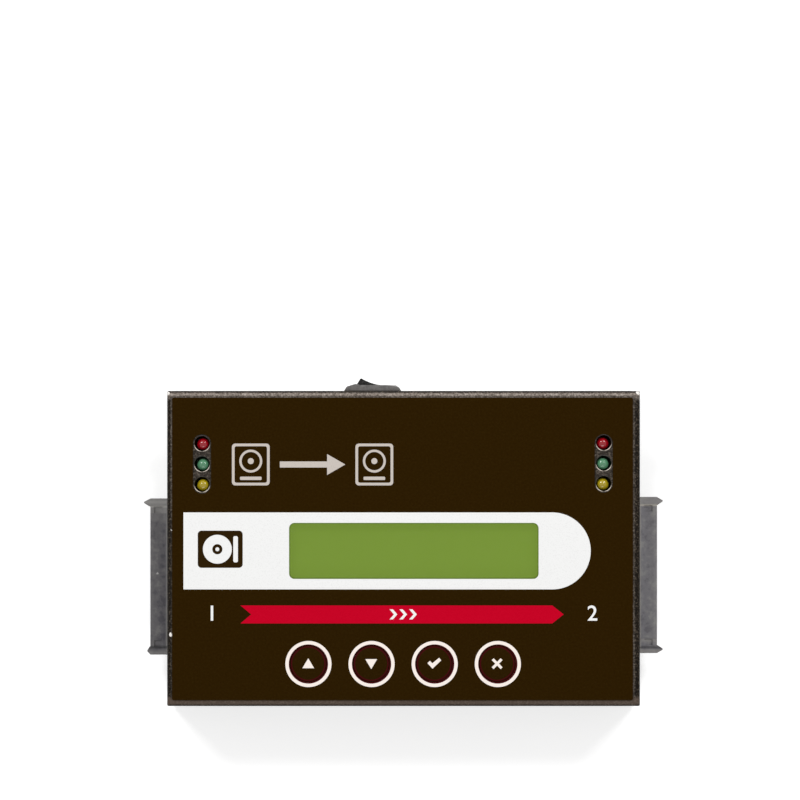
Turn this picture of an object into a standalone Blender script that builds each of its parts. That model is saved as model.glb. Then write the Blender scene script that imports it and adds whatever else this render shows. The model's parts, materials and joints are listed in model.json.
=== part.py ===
"""Palm-size hard drive duplicator.

A folded sheet-metal case carries a printed film with four keys, a display window and two rows
of lamps.  A 22-contact drive socket stands out of each side, and the rear has a power rocker
and a power inlet.  Metres, +Z up, +X towards the target drive, +Y towards the rear.  The origin
is the middle of the whole object's footprint, on the surface that the feet stand on.

Every piece is placed from the middle of the case.  An empty named case_centre moves that middle
forward by half of what the rocker stands out of the rear.
"""

import math

import bmesh
import bpy
from mathutils import Matrix, Vector

# Clearances that every piece shares
GAP = 0.0003            # between a piece and what it rests on or screws into
OVERRUN = 0.0010        # how far a cutter runs past the wall it cuts
LAP = 0.0002            # how deep two joined shapes share material

# Case: folded sheet, base plate, feet
CASE_LENGTH = 0.1400
CASE_DEPTH = 0.0932
CASE_HEIGHT = 0.0240
SHEET = 0.0010
BEND_RADIUS = 0.0013
SEAM_WIDTH = 0.0005
SEAM_REACH = 0.0022
SEAM_TOP_MARGIN = 0.0020
BASE_SHEET = 0.0012
BASE_CORNER = 0.0020
LIP_HEIGHT = 0.0030
LIP_END_MARGIN = 0.0180
BOSS_HEIGHT = 0.0017
BOSS_FOOT_RADIUS = 0.0042
BOSS_TOP_RADIUS = 0.0030
BOSS_INSET_X = 0.0260
BOSS_INSET_Y = 0.0186
FOOT_HEIGHT = 0.0025
FOOT_RADIUS = 0.0050
FOOT_ROUND = 0.0007
FOOT_INSET = 0.0140

# Screws: cover screws come up through the base plate, panel screws go down into the spacers
SCREW_RADIUS = 0.0014
SCREW_HEAD_RADIUS = 0.0027
SCREW_HEAD_HEIGHT = 0.0016
SCREW_RECESS_WIDTH = 0.0007
SCREW_RECESS_DEPTH = 0.0008
SCREW_RECESS_LENGTH = 0.0030
SCREW_CROWN_SHARES = ((0, 1), (0.5, 1), (0.85, 0.7), (1, 0.3), (1, 0))
COVER_SCREW_INSET = 0.0065
COVER_SCREW_PROUD = 0.0008
LUG_THICKNESS = 0.0015
LUG_WIDTH = 0.0090
LUG_REACH = 0.0090
PANEL_SCREW_GRIP_SHARE = 0.55

# Printed film and its openings
FILM_THICKNESS = 0.0004
FILM_SEAT = 0.0001
FILM_MARGIN = 0.0018
FILM_CORNER = 0.0008
KEY_RADIUS = 0.00525
KEY_SLIT = 0.0003
KEY_HOLE_MARGIN = 0.0005
KEY_PITCH = 0.01865
KEYS_SHIFT = -0.0002
KEY_FRONT_OFFSET = 0.0126
KEY_TRAVEL = 0.0005

# Display: window insert over a character module
WINDOW_LENGTH = 0.0739
WINDOW_DEPTH = 0.0165
WINDOW_CORNER = 0.0016
WINDOW_SHIFT_X = 0.0031
WINDOW_SHIFT_Y = -0.00055
WINDOW_FLANGE = 0.0012
WINDOW_FLANGE_MARGIN = 0.0030
DISPLAY_FRAME_MARGIN_X = 0.01205
DISPLAY_FRAME_MARGIN_Y = 0.00525
DISPLAY_FRAME_HEIGHT = 0.0048
DISPLAY_FRAME_SHEET = 0.0005
DISPLAY_VIEW_MARGIN_X = 0.0045
DISPLAY_VIEW_MARGIN_Y = 0.0010
DISPLAY_GLASS = 0.0016
DISPLAY_BOARD_MARGIN_X = 0.0090
DISPLAY_BOARD_MARGIN_Y = 0.0050
DISPLAY_BOARD_SHIFT_Y = -0.0009
DISPLAY_HOLE_RADIUS = 0.00125
DISPLAY_HOLE_INSET = 0.0030
HEADER_HEIGHT = 0.0014
HEADER_WIDTH = 0.0025
HEADER_NICK = 0.0003
HEADER_PITCH = 0.00254
HEADER_WAYS = 16
HEADER_INSET = 0.0028

# Lamps: two rows of three, recessed in round holes
LAMP_SIDE_OFFSET = 0.0105
LAMP_REAR_OFFSET = 0.0154
LAMP_PITCH = 0.00605
LAMP_HOLE_RADIUS = 0.00245
LAMP_HOLE_CHAMFER = 0.0003
LAMP_SLOT_WIDTH = 0.00536
LAMP_SLOT_ROUND_SHARE = 0.495
LAMP_SLOT_MARGIN = 0.0027
LAMP_RADIUS = 0.0019
LAMP_FLANGE_RADIUS = 0.0022
LAMP_FLANGE_HEIGHT = 0.0010
LAMP_BARREL_HEIGHT = 0.0034
LAMP_RECESS = 0.0002
LAMP_LEAD = 0.0005
LAMP_LEAD_SPACING = 0.00254
LAMP_FLAT = 0.0003

# Boards, and the spacers between them
BOARD_THICKNESS = 0.0016
MAIN_BOARD_SIDE_MARGIN = 0.0060
MAIN_BOARD_END_MARGIN = 0.0036
MAIN_BOARD_NOTCH_X = 0.0080
MAIN_BOARD_NOTCH_Y = 0.0090
PANEL_BOARD_SIDE_MARGIN = 0.0065
PANEL_BOARD_FRONT_MARGIN = 0.0066
PANEL_BOARD_REAR_MARGIN = 0.0096
PANEL_BOARD_NOTCH_DEPTH = 0.0140
PANEL_BOARD_NOTCH_MARGIN = 0.0026
BOARD_CORNER = 0.0010
SPACER_RADIUS = 0.0032
SPACER_STUD = 0.0013
STUD_CLEARANCE = 0.0003
LINK_LENGTH = 0.0300
LINK_WIDTH = 0.0046
LINK_FRONT_OFFSET = 0.0330
LINK_RECESS = 0.0010
CHIP_SIDE = 0.0140
CHIP_HEIGHT = 0.0015
CHIP_BEVEL = 0.0004
CHIP_SHIFT_X = -0.0220
CHIP_SHIFT_Y = 0.0030
INDUCTOR_SIDE = 0.0070
INDUCTOR_HEIGHT = 0.0042
INDUCTOR_CORNER = 0.0014
INDUCTOR_WELL_RADIUS = 0.0023
INDUCTOR_WELL_DEPTH = 0.0008
CAPACITOR_RADIUS = 0.0031
CAPACITOR_HEIGHT = 0.0056
CAPACITOR_CRIMP = 0.0004
CAPACITOR_BAND_SHARES = (0.3, 0.2, 0.1)
POWER_PARTS_SPACING = 0.0085

# Key switches on the panel board
SWITCH_SIDE = 0.0060
SWITCH_HEIGHT = 0.0035
SWITCH_BEVEL = 0.0004
SWITCH_LEG_WIDTH = 0.0007
SWITCH_LEG_REACH = 0.0012
SWITCH_LEG_HEIGHT = 0.0005
SWITCH_LEG_SPREAD = 0.0045
PLUNGER_RADIUS = 0.0017
PLUNGER_FOOT_RADIUS = 0.0021
PLUNGER_FOOT_HEIGHT = 0.0008
PLUNGER_CLEARANCE = 0.0003
SWITCH_ROOF = 0.0006

# Drive sockets: two keyed slots with 7 and 15 contacts, and a pointed guide post at each end
SOCKET_SHIFT_Y = -0.0082
SOCKET_WIDTH = 0.0419
SOCKET_HEADROOM = 0.0008
SOCKET_REACH = 0.0053
SOCKET_INSIDE = 0.0120
SOCKET_SHOULDER_REACH = 0.0008
SOCKET_SHOULDER_INSIDE = 0.0018
SOCKET_SHOULDER_RISE = 0.0005
SOCKET_CLEARANCE = 0.0003
POST_THICKNESS = 0.0022
POST_REACH = 0.0072
POST_HEIGHT_SHARE = 0.88
POST_TIP_SHARE = 0.48
POST_BLUNT = 0.0002
POST_TAPER_START = 0.0055
SLOT_HEIGHT_SHARE = 0.30
SLOT_DEPTH = 0.0052
SLOT_END = 0.00145
SLOT_WALL = 0.0023
SLOT_KEY_WIDTH = 0.0011
SLOT_KEY_DROP_SHARE = 0.22
SLOT_MOUTH_MARGIN_SHARE = 0.10
SLOT_MOUTH_DEPTH = 0.0004
CONTACT_PITCH = 0.00127
CONTACT_WIDTH = 0.0005
CONTACT_RISE = 0.0005
CONTACT_SETBACK = 0.0009
TAIL_REACH = 0.0014
TAIL_THICKNESS = 0.0004
TAIL_HEIGHT = 0.0022
SIGNAL_CONTACTS = 7
POWER_CONTACTS = 15
RECESS_LENGTH = 0.0024
RECESS_WIDTH = 0.0019
RECESS_DEPTH = 0.0004
RECESS_SETBACK = 0.0012
RECESS_RIM = 0.0002
PEG_RADIUS = 0.0008
PEG_CLEARANCE = 0.0003
PEG_INSET = 0.0035
PEG_SETBACK = 0.0090

# Power inlet
INLET_SIDE_OFFSET = 0.0380
INLET_WIDTH = 0.0090
INLET_DEPTH = 0.0142
INLET_HEIGHT = 0.0110
INLET_BEVEL = 0.0008
INLET_BORE_RADIUS = 0.00315
INLET_BORE_DEPTH = 0.0095
INLET_PIN_RADIUS = 0.0010
INLET_PIN_SETBACK = 0.0006
INLET_PIN_SEAT = 0.0015
INLET_PIN_CLEARANCE = 0.0003

# Power rocker: bezel and body, paddle, terminals, wires
ROCKER_SHIFT_X = -0.00915
BEZEL_LENGTH = 0.0170
BEZEL_WIDTH = 0.0112
BEZEL_END_HEIGHT = 0.0014
BEZEL_CROWN = 0.0008
BEZEL_EDGE = 0.0011
ROCKER_BODY_LENGTH = 0.0148
ROCKER_BODY_WIDTH = 0.0096
ROCKER_BODY_DEPTH = 0.0105
POCKET_LENGTH = 0.0132
POCKET_WIDTH = 0.0066
POCKET_DEPTH = 0.0056
PADDLE_WIDTH = 0.0060
PIVOT_DEPTH = 0.0020
PADDLE_TIP_RADIUS = 0.0070
PADDLE_TIP_ANGLE = math.radians(43.4)
PADDLE_TILT = math.radians(13.0)
PADDLE_SAG = 0.0008
PADDLE_END_REACH = 0.0063
PADDLE_END_HEIGHT = 0.0005
PADDLE_ROOT_REACH = 0.0022
PADDLE_ROOT_DROP = 0.0026
PADDLE_EDGE = 0.00025
AXLE_RADIUS = 0.0009
AXLE_PROUD = 0.0007
AXLE_CLEARANCE = 0.0002
TERMINAL_WIDTH = 0.0028
TERMINAL_THICKNESS = 0.0006
TERMINAL_SPREAD = 0.0072
TERMINAL_REACH = 0.0050
TERMINAL_SEAT = 0.0015
TERMINAL_HOLE_RADIUS = 0.0007
WIRE_RADIUS = 0.0007
WIRE_PITCH = 0.0025
WIRE_SWEEP = 0.0028
PLUG_LENGTH = 0.0065
PLUG_WIDTH = 0.0040
PLUG_HEIGHT = 0.0042
PLUG_SETBACK = 0.0042
PLUG_BEVEL = 0.0004

# Steps round a circle
FINE_STEPS = 32
ROUND_STEPS = 16
SMALL_STEPS = 10
CORNER_STEPS = 3
BEND_STEPS = 3
DOME_STEPS = 4
BEZEL_STEPS = 5
PADDLE_STEPS = 6
WIRE_STEPS = 9
CIRCLE_PHASE = math.radians(4)
BOSS_TURN = math.radians(11)
CREASE_ANGLE = math.radians(40)
BEVEL_ANGLE = math.radians(35)

# Levels, from the feet up to the film
BASE_UNDER = FOOT_HEIGHT + GAP
BASE_TOP = BASE_UNDER + BASE_SHEET
COVER_TOP = BASE_UNDER + CASE_HEIGHT
COVER_UNDER = COVER_TOP - SHEET
FILM_UNDER = COVER_TOP + FILM_SEAT
FILM_TOP = FILM_UNDER + FILM_THICKNESS
BOSS_TOP = BASE_TOP + BOSS_HEIGHT
MAIN_UNDER = BOSS_TOP + GAP
MAIN_TOP = MAIN_UNDER + BOARD_THICKNESS
MAIN_SEAT = MAIN_TOP + GAP
LUG_UNDER = BASE_TOP + GAP
LUG_TOP = LUG_UNDER + LUG_THICKNESS
FLANGE_TOP = COVER_UNDER - GAP
FLANGE_UNDER = FLANGE_TOP - WINDOW_FLANGE
DISPLAY_TOP = FLANGE_UNDER - GAP
DISPLAY_UNDER = DISPLAY_TOP - DISPLAY_FRAME_HEIGHT
DISPLAY_BOARD_TOP = DISPLAY_UNDER - GAP
DISPLAY_BOARD_UNDER = DISPLAY_BOARD_TOP - BOARD_THICKNESS
HEADER_TOP = DISPLAY_BOARD_UNDER - GAP
PANEL_SEAT = HEADER_TOP - HEADER_HEIGHT
PANEL_TOP = PANEL_SEAT - GAP
PANEL_UNDER = PANEL_TOP - BOARD_THICKNESS
ROCKER_LEVEL = BASE_UNDER + CASE_HEIGHT / 2

# Half sizes and places, from the middle of the case
HALF_LENGTH = CASE_LENGTH / 2
HALF_DEPTH = CASE_DEPTH / 2
SCREW_CLEARANCE_RADIUS = SCREW_RADIUS + GAP
STUD_HOLE_RADIUS = SPACER_STUD + STUD_CLEARANCE
INLET_X = HALF_LENGTH - INLET_SIDE_OFFSET
BOSS_X = HALF_LENGTH - BOSS_INSET_X
BOSS_Y = HALF_DEPTH - BOSS_INSET_Y
LAMP_X = HALF_LENGTH - LAMP_SIDE_OFFSET
LAMP_Y = HALF_DEPTH - LAMP_REAR_OFFSET
KEY_Y = KEY_FRONT_OFFSET - HALF_DEPTH
KEY_NAMES = ("up", "down", "confirm", "cancel")
LAMP_NAMES = ("red", "green", "yellow")
CORNER_SIGNS = (("front_left", -1, -1), ("front_right", 1, -1), ("rear_left", -1, 1), ("rear_right", 1, 1))

# Finishes as sRGB colour, roughness and metallic value
COATED_METAL = ((66, 57, 50), 0.55, 0.3)
FILM_BROWN = ((42, 27, 3), 0.4, 0.0)
CLEAR_PLASTIC = ((150, 170, 110), 0.12, 0.0)
DISPLAY_GREEN = ((121, 151, 57), 0.3, 0.0)
BACKLIGHT_WHITE = ((225, 228, 215), 0.5, 0.0)
BOARD_GREEN = ((24, 74, 44), 0.45, 0.0)
SOCKET_GREY = ((92, 91, 93), 0.5, 0.0)
BLACK_PLASTIC = ((38, 38, 37), 0.45, 0.0)
BEZEL_GREY = ((72, 70, 68), 0.45, 0.0)
CHIP_BLACK = ((28, 28, 30), 0.5, 0.0)
FERRITE_GREY = ((58, 58, 62), 0.6, 0.1)
TINNED_METAL = ((196, 196, 190), 0.3, 1.0)
BRASS_METAL = ((196, 164, 92), 0.3, 1.0)
RUBBER_BLACK = ((30, 30, 30), 0.85, 0.0)
HOUSING_WHITE = ((226, 222, 208), 0.5, 0.0)
LAMP_COLOURS = {"red": (168, 12, 28), "green": (60, 150, 92), "yellow": (190, 170, 40)}
WIRE_COLOURS = {"live": (150, 24, 24), "return": (26, 26, 28)}


def clear_scene():
    for old in list(bpy.data.objects):
        bpy.data.objects.remove(old)


def new_collection(name):
    collection = bpy.data.collections.new(name)
    bpy.context.scene.collection.children.link(collection)
    return collection


clear_scene()
parts = new_collection("hard_drive_duplicator")
cutters = new_collection("cutters")
case_centre = bpy.data.objects.new("case_centre", None)
parts.objects.link(case_centre)


def linear(value):
    """One sRGB channel from 0 to 255 as the linear value that a shader takes."""
    share = value / 255
    return share / 12.92 if share <= 0.04045 else ((share + 0.055) / 1.055) ** 2.4


def paint(obj, finish, name=None):
    """Gives the object a Principled material made from colour, roughness and metallic value."""
    colour, roughness, metallic = finish
    label = (name or obj.name) + "_finish"
    material = bpy.data.materials.get(label) or bpy.data.materials.new(label)
    material.use_nodes = True
    shader = material.node_tree.nodes["Principled BSDF"]
    shader.inputs["Base Color"].default_value = (*map(linear, colour), 1)
    shader.inputs["Roughness"].default_value = roughness
    shader.inputs["Metallic"].default_value = metallic
    obj.data.materials.clear()
    obj.data.materials.append(material)


def adopt(obj, collection=parts):
    """Moves the object into a collection and hangs it on the middle of the case."""
    for holder in list(obj.users_collection):
        holder.objects.unlink(obj)
    collection.objects.link(obj)
    obj.parent = case_centre
    return obj


def object_from_bmesh(name, bm):
    mesh = bpy.data.meshes.new(name)
    bm.to_mesh(mesh)
    bm.free()
    return adopt(bpy.data.objects.new(name, mesh))


def bars(name, spans):
    """One mesh of upright boxes, each from its low corner to its high corner."""
    bm = bmesh.new()
    for low, high in spans:
        size = Vector(high) - Vector(low)
        middle = (Vector(high) + Vector(low)) / 2
        bmesh.ops.create_cube(bm, size=1, matrix=Matrix.Translation(middle) @ Matrix.Diagonal((*size, 1)))
    return object_from_bmesh(name, bm)


def block(name, low, high):
    return bars(name, [(low, high)])


def cylinder(name, radius, low, high, centre=(0, 0), steps=ROUND_STEPS):
    """An upright cylinder from level low to level high."""
    bm = bmesh.new()
    place = Matrix.Translation((*centre, (low + high) / 2))
    bmesh.ops.create_cone(bm, cap_ends=True, segments=steps, radius1=radius, radius2=radius,
                          depth=high - low, matrix=place)
    return object_from_bmesh(name, bm)


def turned(name, profile, steps, location=(0, 0, 0), closed=False):
    """A solid of revolution about its own Z, from a profile that runs down its outer side."""
    edges = [(i, i + 1) for i in range(len(profile) - 1)]
    if closed:
        edges.append((len(profile) - 1, 0))
    mesh = bpy.data.meshes.new(name)
    mesh.from_pydata([(radius, 0, level) for radius, level in profile], edges, [])
    obj = adopt(bpy.data.objects.new(name, mesh))
    obj.location = location
    screw = obj.modifiers.new("turn", "SCREW")
    screw.steps = steps
    screw.render_steps = steps
    screw.use_merge_vertices = True
    screw.merge_threshold = 0.000001
    screw.use_smooth_shade = True
    return obj


def outline_plate(name, loops, low, high):
    """A flat plate from closed outlines: the first is its edge, and the others are holes."""
    curve = bpy.data.curves.new(name, "CURVE")
    curve.dimensions = "2D"
    curve.fill_mode = "BOTH"
    curve.extrude = (high - low) / 2
    for loop in loops:
        spline = curve.splines.new("POLY")
        spline.points.add(len(loop) - 1)
        spline.use_cyclic_u = True
        for point, (x, y) in zip(spline.points, loop):
            point.co = (x, y, 0, 1)
    guide = bpy.data.objects.new(name + "_outline", curve)
    bpy.context.scene.collection.objects.link(guide)
    guide.location.z = (high + low) / 2
    bpy.context.view_layer.update()
    evaluated = guide.evaluated_get(bpy.context.evaluated_depsgraph_get())
    mesh = bpy.data.meshes.new_from_object(evaluated)
    mesh.transform(guide.matrix_world)
    bpy.data.objects.remove(guide)
    bm = bmesh.new()
    bm.from_mesh(mesh)
    bpy.data.meshes.remove(mesh)
    bmesh.ops.remove_doubles(bm, verts=bm.verts, dist=0.000001)
    bmesh.ops.recalc_face_normals(bm, faces=bm.faces)
    return object_from_bmesh(name, bm)


def circle(radius, centre=(0, 0), steps=ROUND_STEPS):
    """A round outline, turned a little so that no three points of a row of holes share a line."""
    turns = [CIRCLE_PHASE + 2 * math.pi * i / steps for i in range(steps)]
    return [(centre[0] + radius * math.cos(a), centre[1] + radius * math.sin(a)) for a in turns]


def rounded(points, radius, steps=CORNER_STEPS):
    """A closed outline with each corner turned into an arc of the given radius."""
    outline = []
    for i, corner in enumerate(points):
        corner = Vector(corner)
        before = (Vector(points[i - 1]) - corner).normalized()
        after = (Vector(points[(i + 1) % len(points)]) - corner).normalized()
        half = before.angle(after) / 2
        reach = radius / math.tan(half)
        middle = corner + (before + after).normalized() * radius / math.sin(half)
        start = corner + before * reach - middle
        end = corner + after * reach - middle
        sweep = start.angle_signed(end)
        for k in range(steps + 1):
            arm = start.copy()
            arm.rotate(Matrix.Rotation(-sweep * k / steps, 2))
            outline.append(tuple(middle + arm))
    return outline


def rectangle(length, depth, centre=(0, 0)):
    x, y = length / 2, depth / 2
    return [(centre[0] + i * x, centre[1] + j * y) for i, j in ((-1, -1), (1, -1), (1, 1), (-1, 1))]


def bevel(obj, width, segments=2):
    modifier = obj.modifiers.new("bevel", "BEVEL")
    modifier.width = width
    modifier.segments = segments
    modifier.limit_method = "ANGLE"
    modifier.angle_limit = BEVEL_ANGLE


def combine(obj, tool, operation):
    """Joins the tool to the object, or cuts it out, and files the tool with the cutters."""
    adopt(tool, cutters)
    tool.hide_render = True
    tool.display_type = "WIRE"
    modifier = obj.modifiers.new(tool.name, "BOOLEAN")
    modifier.operation = operation
    modifier.solver = "EXACT"
    modifier.object = tool


def cut(obj, tool):
    combine(obj, tool, "DIFFERENCE")


def join(obj, tool):
    combine(obj, tool, "UNION")


def settle(obj):
    """Fixes what the modifiers make into the mesh, so that copies of it can share that mesh."""
    bpy.context.view_layer.update()
    tools = [m.object for m in obj.modifiers if m.type == "BOOLEAN"]
    evaluated = obj.evaluated_get(bpy.context.evaluated_depsgraph_get())
    mesh = bpy.data.meshes.new_from_object(evaluated)
    obj.modifiers.clear()
    obj.data = mesh
    for tool in tools:
        bpy.data.objects.remove(tool)
    return obj


def smooth(obj):
    """Round faces shade smooth, and sharper edges stay crisp."""
    obj.data.shade_smooth()
    obj.data.set_sharp_from_angle(angle=CREASE_ANGLE)


def copies(master, placed):
    """Copies the master to each named place, all sharing its mesh, and removes the master."""
    made = []
    for name, location in placed:
        twin = master.copy()
        twin.name = name
        twin.location = location
        adopt(twin)
        made.append(twin)
    bpy.data.objects.remove(master)
    return made


def paddle_points():
    """Outline of the rocker paddle about its axle, with both ends level."""
    tip_x = PADDLE_TIP_RADIUS * math.sin(PADDLE_TIP_ANGLE)
    tip_y = PADDLE_TIP_RADIUS * math.cos(PADDLE_TIP_ANGLE)
    right = [(PADDLE_ROOT_REACH, -PADDLE_ROOT_DROP), (PADDLE_END_REACH, PADDLE_END_HEIGHT)]
    left = [(-x, y) for x, y in reversed(right)]
    shares = [1 - 2 * i / PADDLE_STEPS for i in range(PADDLE_STEPS + 1)]
    top = [(tip_x * s, tip_y - PADDLE_SAG * (1 - s * s)) for s in shares]
    return right + top + left


def paddle_reach():
    """How far the raised end of the paddle stands out of the rear of the case."""
    turn = Matrix.Rotation(-PADDLE_TILT, 2)
    return max((turn @ Vector(point)).y for point in paddle_points()) - PIVOT_DEPTH


def key_places():
    first = KEYS_SHIFT - KEY_PITCH * (len(KEY_NAMES) - 1) / 2
    return [(name, first + KEY_PITCH * i) for i, name in enumerate(KEY_NAMES)]


def lamp_places():
    return [(side, colour, sign * LAMP_X, LAMP_Y - LAMP_PITCH * i)
            for side, sign in (("source", -1), ("target", 1))
            for i, colour in enumerate(LAMP_NAMES)]


def inlet_levels():
    return MAIN_SEAT, MAIN_SEAT + INLET_HEIGHT


def socket_levels():
    """The socket's body fills the room between the two boards, and its shoulder stands past it."""
    return MAIN_SEAT, PANEL_UNDER - SOCKET_HEADROOM


def socket_height():
    low, high = socket_levels()
    return high - low


def shoulder_width():
    return SOCKET_WIDTH + 2 * POST_THICKNESS


def make_top_cover():
    """Folded cover: the top with four sides turned down, an open seam at each corner, and screw lugs."""
    bm = bmesh.new()
    size = Matrix.Diagonal((CASE_LENGTH, CASE_DEPTH, CASE_HEIGHT, 1))
    bmesh.ops.create_cube(bm, size=1, matrix=Matrix.Translation((0, 0, BASE_UNDER + CASE_HEIGHT / 2)) @ size)
    under = min(bm.faces, key=lambda face: face.calc_center_median().z)
    bmesh.ops.delete(bm, geom=[under], context="FACES_ONLY")
    folds = [edge for edge in bm.edges if len(edge.link_faces) == 2]
    bmesh.ops.bevel(bm, geom=folds, offset=BEND_RADIUS, segments=BEND_STEPS, affect="EDGES", profile=0.5)
    cover = object_from_bmesh("top_cover", bm)
    wall = cover.modifiers.new("sheet", "SOLIDIFY")
    wall.thickness = SHEET
    wall.offset = -1
    wall.use_even_offset = True

    lugs = []
    for _, i, j in CORNER_SIGNS:
        middle_x = i * (HALF_LENGTH - COVER_SCREW_INSET)
        near = j * (HALF_DEPTH - SHEET + LAP)
        far = j * (HALF_DEPTH - SHEET - LUG_REACH)
        lugs.append(((middle_x - LUG_WIDTH / 2, min(near, far), LUG_UNDER),
                     (middle_x + LUG_WIDTH / 2, max(near, far), LUG_TOP)))
    join(cover, bars("lugs", lugs))
    for name, i, j in CORNER_SIGNS:
        place = (i * (HALF_LENGTH - COVER_SCREW_INSET), j * (HALF_DEPTH - COVER_SCREW_INSET))
        cut(cover, cylinder("lug_hole_" + name, SCREW_CLEARANCE_RADIUS, LUG_UNDER - OVERRUN,
                            LUG_TOP + OVERRUN, place, SMALL_STEPS))
        seam = block("seam_" + name, (-SEAM_REACH, -SEAM_WIDTH / 2, BASE_UNDER - OVERRUN),
                     (OVERRUN, SEAM_WIDTH / 2, COVER_TOP - SEAM_TOP_MARGIN))
        seam.location = (i * HALF_LENGTH, j * HALF_DEPTH, 0)
        seam.rotation_euler.z = math.atan2(j, i)
        cut(cover, seam)

    window = rounded(rectangle(WINDOW_LENGTH, WINDOW_DEPTH, (WINDOW_SHIFT_X, WINDOW_SHIFT_Y)), WINDOW_CORNER)
    cut(cover, outline_plate("display_opening", [window], COVER_UNDER - OVERRUN, COVER_TOP + OVERRUN))
    for name, x in key_places():
        cut(cover, cylinder("key_hole_" + name, KEY_RADIUS + KEY_HOLE_MARGIN, COVER_UNDER - OVERRUN,
                            COVER_TOP + OVERRUN, (x, KEY_Y), FINE_STEPS))
    wide = LAMP_HOLE_RADIUS + LAMP_HOLE_CHAMFER + OVERRUN
    hole = [(0, OVERRUN), (wide, OVERRUN), (LAMP_HOLE_RADIUS, -LAMP_HOLE_CHAMFER),
            (LAMP_HOLE_RADIUS, -SHEET - OVERRUN), (0, -SHEET - OVERRUN)]
    for side, colour, x, y in lamp_places():
        cut(cover, turned("lamp_hole_" + side + "_" + colour, hole, ROUND_STEPS, (x, y, COVER_TOP)))

    low, high = socket_levels()
    half = shoulder_width() / 2 + SOCKET_CLEARANCE
    rise = SOCKET_SHOULDER_RISE + SOCKET_CLEARANCE
    for side, i in (("source", -1), ("target", 1)):
        inner = i * (HALF_LENGTH - SHEET - OVERRUN)
        outer = i * (HALF_LENGTH + OVERRUN)
        cut(cover, block("socket_opening_" + side, (min(inner, outer), SOCKET_SHIFT_Y - half, low - rise),
                         (max(inner, outer), SOCKET_SHIFT_Y + half, high + rise)))
    low, high = inlet_levels()
    inlet_half = INLET_WIDTH / 2 + GAP
    cut(cover, block("inlet_opening", (INLET_X - inlet_half, HALF_DEPTH - SHEET - OVERRUN, low - GAP),
                     (INLET_X + inlet_half, HALF_DEPTH + OVERRUN, high + GAP)))
    rocker_half = ROCKER_BODY_LENGTH / 2 + GAP
    rocker_rise = ROCKER_BODY_WIDTH / 2 + GAP
    cut(cover, block("rocker_opening",
                     (ROCKER_SHIFT_X - rocker_half, HALF_DEPTH - SHEET - OVERRUN, ROCKER_LEVEL - rocker_rise),
                     (ROCKER_SHIFT_X + rocker_half, HALF_DEPTH + OVERRUN, ROCKER_LEVEL + rocker_rise)))
    paint(cover, COATED_METAL)


def make_base_plate():
    """Flat base inside the cover's sides, with two stiffening lips and four pressed bosses."""
    length = CASE_LENGTH - 2 * (SHEET + GAP)
    depth = CASE_DEPTH - 2 * (SHEET + GAP)
    screw_x = HALF_LENGTH - COVER_SCREW_INSET
    screw_y = HALF_DEPTH - COVER_SCREW_INSET
    loops = [rounded(rectangle(length, depth), BASE_CORNER)]
    for _, i, j in CORNER_SIGNS:
        loops.append(circle(SCREW_CLEARANCE_RADIUS, (i * screw_x, j * screw_y), SMALL_STEPS))
        loops.append(circle(BOSS_FOOT_RADIUS - SHEET, (i * BOSS_X, j * BOSS_Y)))
    base = outline_plate("base_plate", loops, BASE_UNDER, BASE_TOP)
    lip_half = HALF_LENGTH - LIP_END_MARGIN
    edge = depth / 2 - LAP
    lip_under, lip_top = BASE_UNDER + LAP, BASE_TOP + LIP_HEIGHT
    join(base, bars("lips", [((-lip_half, y, lip_under), (lip_half, y + BASE_SHEET, lip_top))
                             for y in (-edge, edge - BASE_SHEET)]))
    foot, low, high = BOSS_FOOT_RADIUS + LAP, BASE_UNDER + LAP, BASE_TOP - LAP
    ring = [(STUD_HOLE_RADIUS, BOSS_TOP), (BOSS_TOP_RADIUS, BOSS_TOP), (foot, high), (foot, low),
            (BOSS_FOOT_RADIUS - SHEET + LAP, low), (BOSS_TOP_RADIUS - SHEET, BOSS_TOP - BASE_SHEET),
            (STUD_HOLE_RADIUS, BOSS_TOP - BASE_SHEET)]
    for name, i, j in CORNER_SIGNS:
        boss = turned("boss_" + name, ring, ROUND_STEPS, (i * BOSS_X, j * BOSS_Y, 0), closed=True)
        boss.rotation_euler.z = BOSS_TURN
        join(base, boss)
    paint(base, COATED_METAL)


def make_feet():
    """Four rubber feet stuck under the base plate, each with a rounded lower edge."""
    turns = [math.pi / 2 * i / CORNER_STEPS for i in range(CORNER_STEPS + 1)]
    edge = [(FOOT_RADIUS - FOOT_ROUND * (1 - math.cos(a)), FOOT_ROUND * (1 - math.sin(a))) for a in turns]
    profile = [(0, FOOT_HEIGHT), (FOOT_RADIUS, FOOT_HEIGHT)] + edge + [(0, 0)]
    foot = settle(turned("foot", profile, ROUND_STEPS))
    smooth(foot)
    paint(foot, RUBBER_BLACK)
    copies(foot, [("foot_" + name, (i * (HALF_LENGTH - FOOT_INSET), j * (HALF_DEPTH - FOOT_INSET), 0))
                  for name, i, j in CORNER_SIGNS])


def make_screw(name, shank):
    """Pan-head screw with a cross recess, its head up and its seat at its origin."""
    top = SCREW_HEAD_HEIGHT
    head = [(SCREW_HEAD_RADIUS * out, top * up) for out, up in SCREW_CROWN_SHARES]
    point = SCREW_RADIUS / 2
    profile = head + [(SCREW_RADIUS, 0), (SCREW_RADIUS, point - shank), (point, -shank), (0, -shank)]
    screw = turned(name, profile, SMALL_STEPS)
    arm, wide = SCREW_RECESS_LENGTH / 2, SCREW_RECESS_WIDTH / 2
    for x, y in ((arm, wide), (wide, arm)):
        cut(screw, block("recess_arm", (-x, -y, top - SCREW_RECESS_DEPTH), (x, y, top + OVERRUN)))
    settle(screw)
    smooth(screw)
    paint(screw, TINNED_METAL, "screw")
    return screw


def panel_screw_grip():
    """How far a panel screw goes down into its spacer."""
    return PANEL_SCREW_GRIP_SHARE * (PANEL_UNDER - MAIN_TOP)


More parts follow.
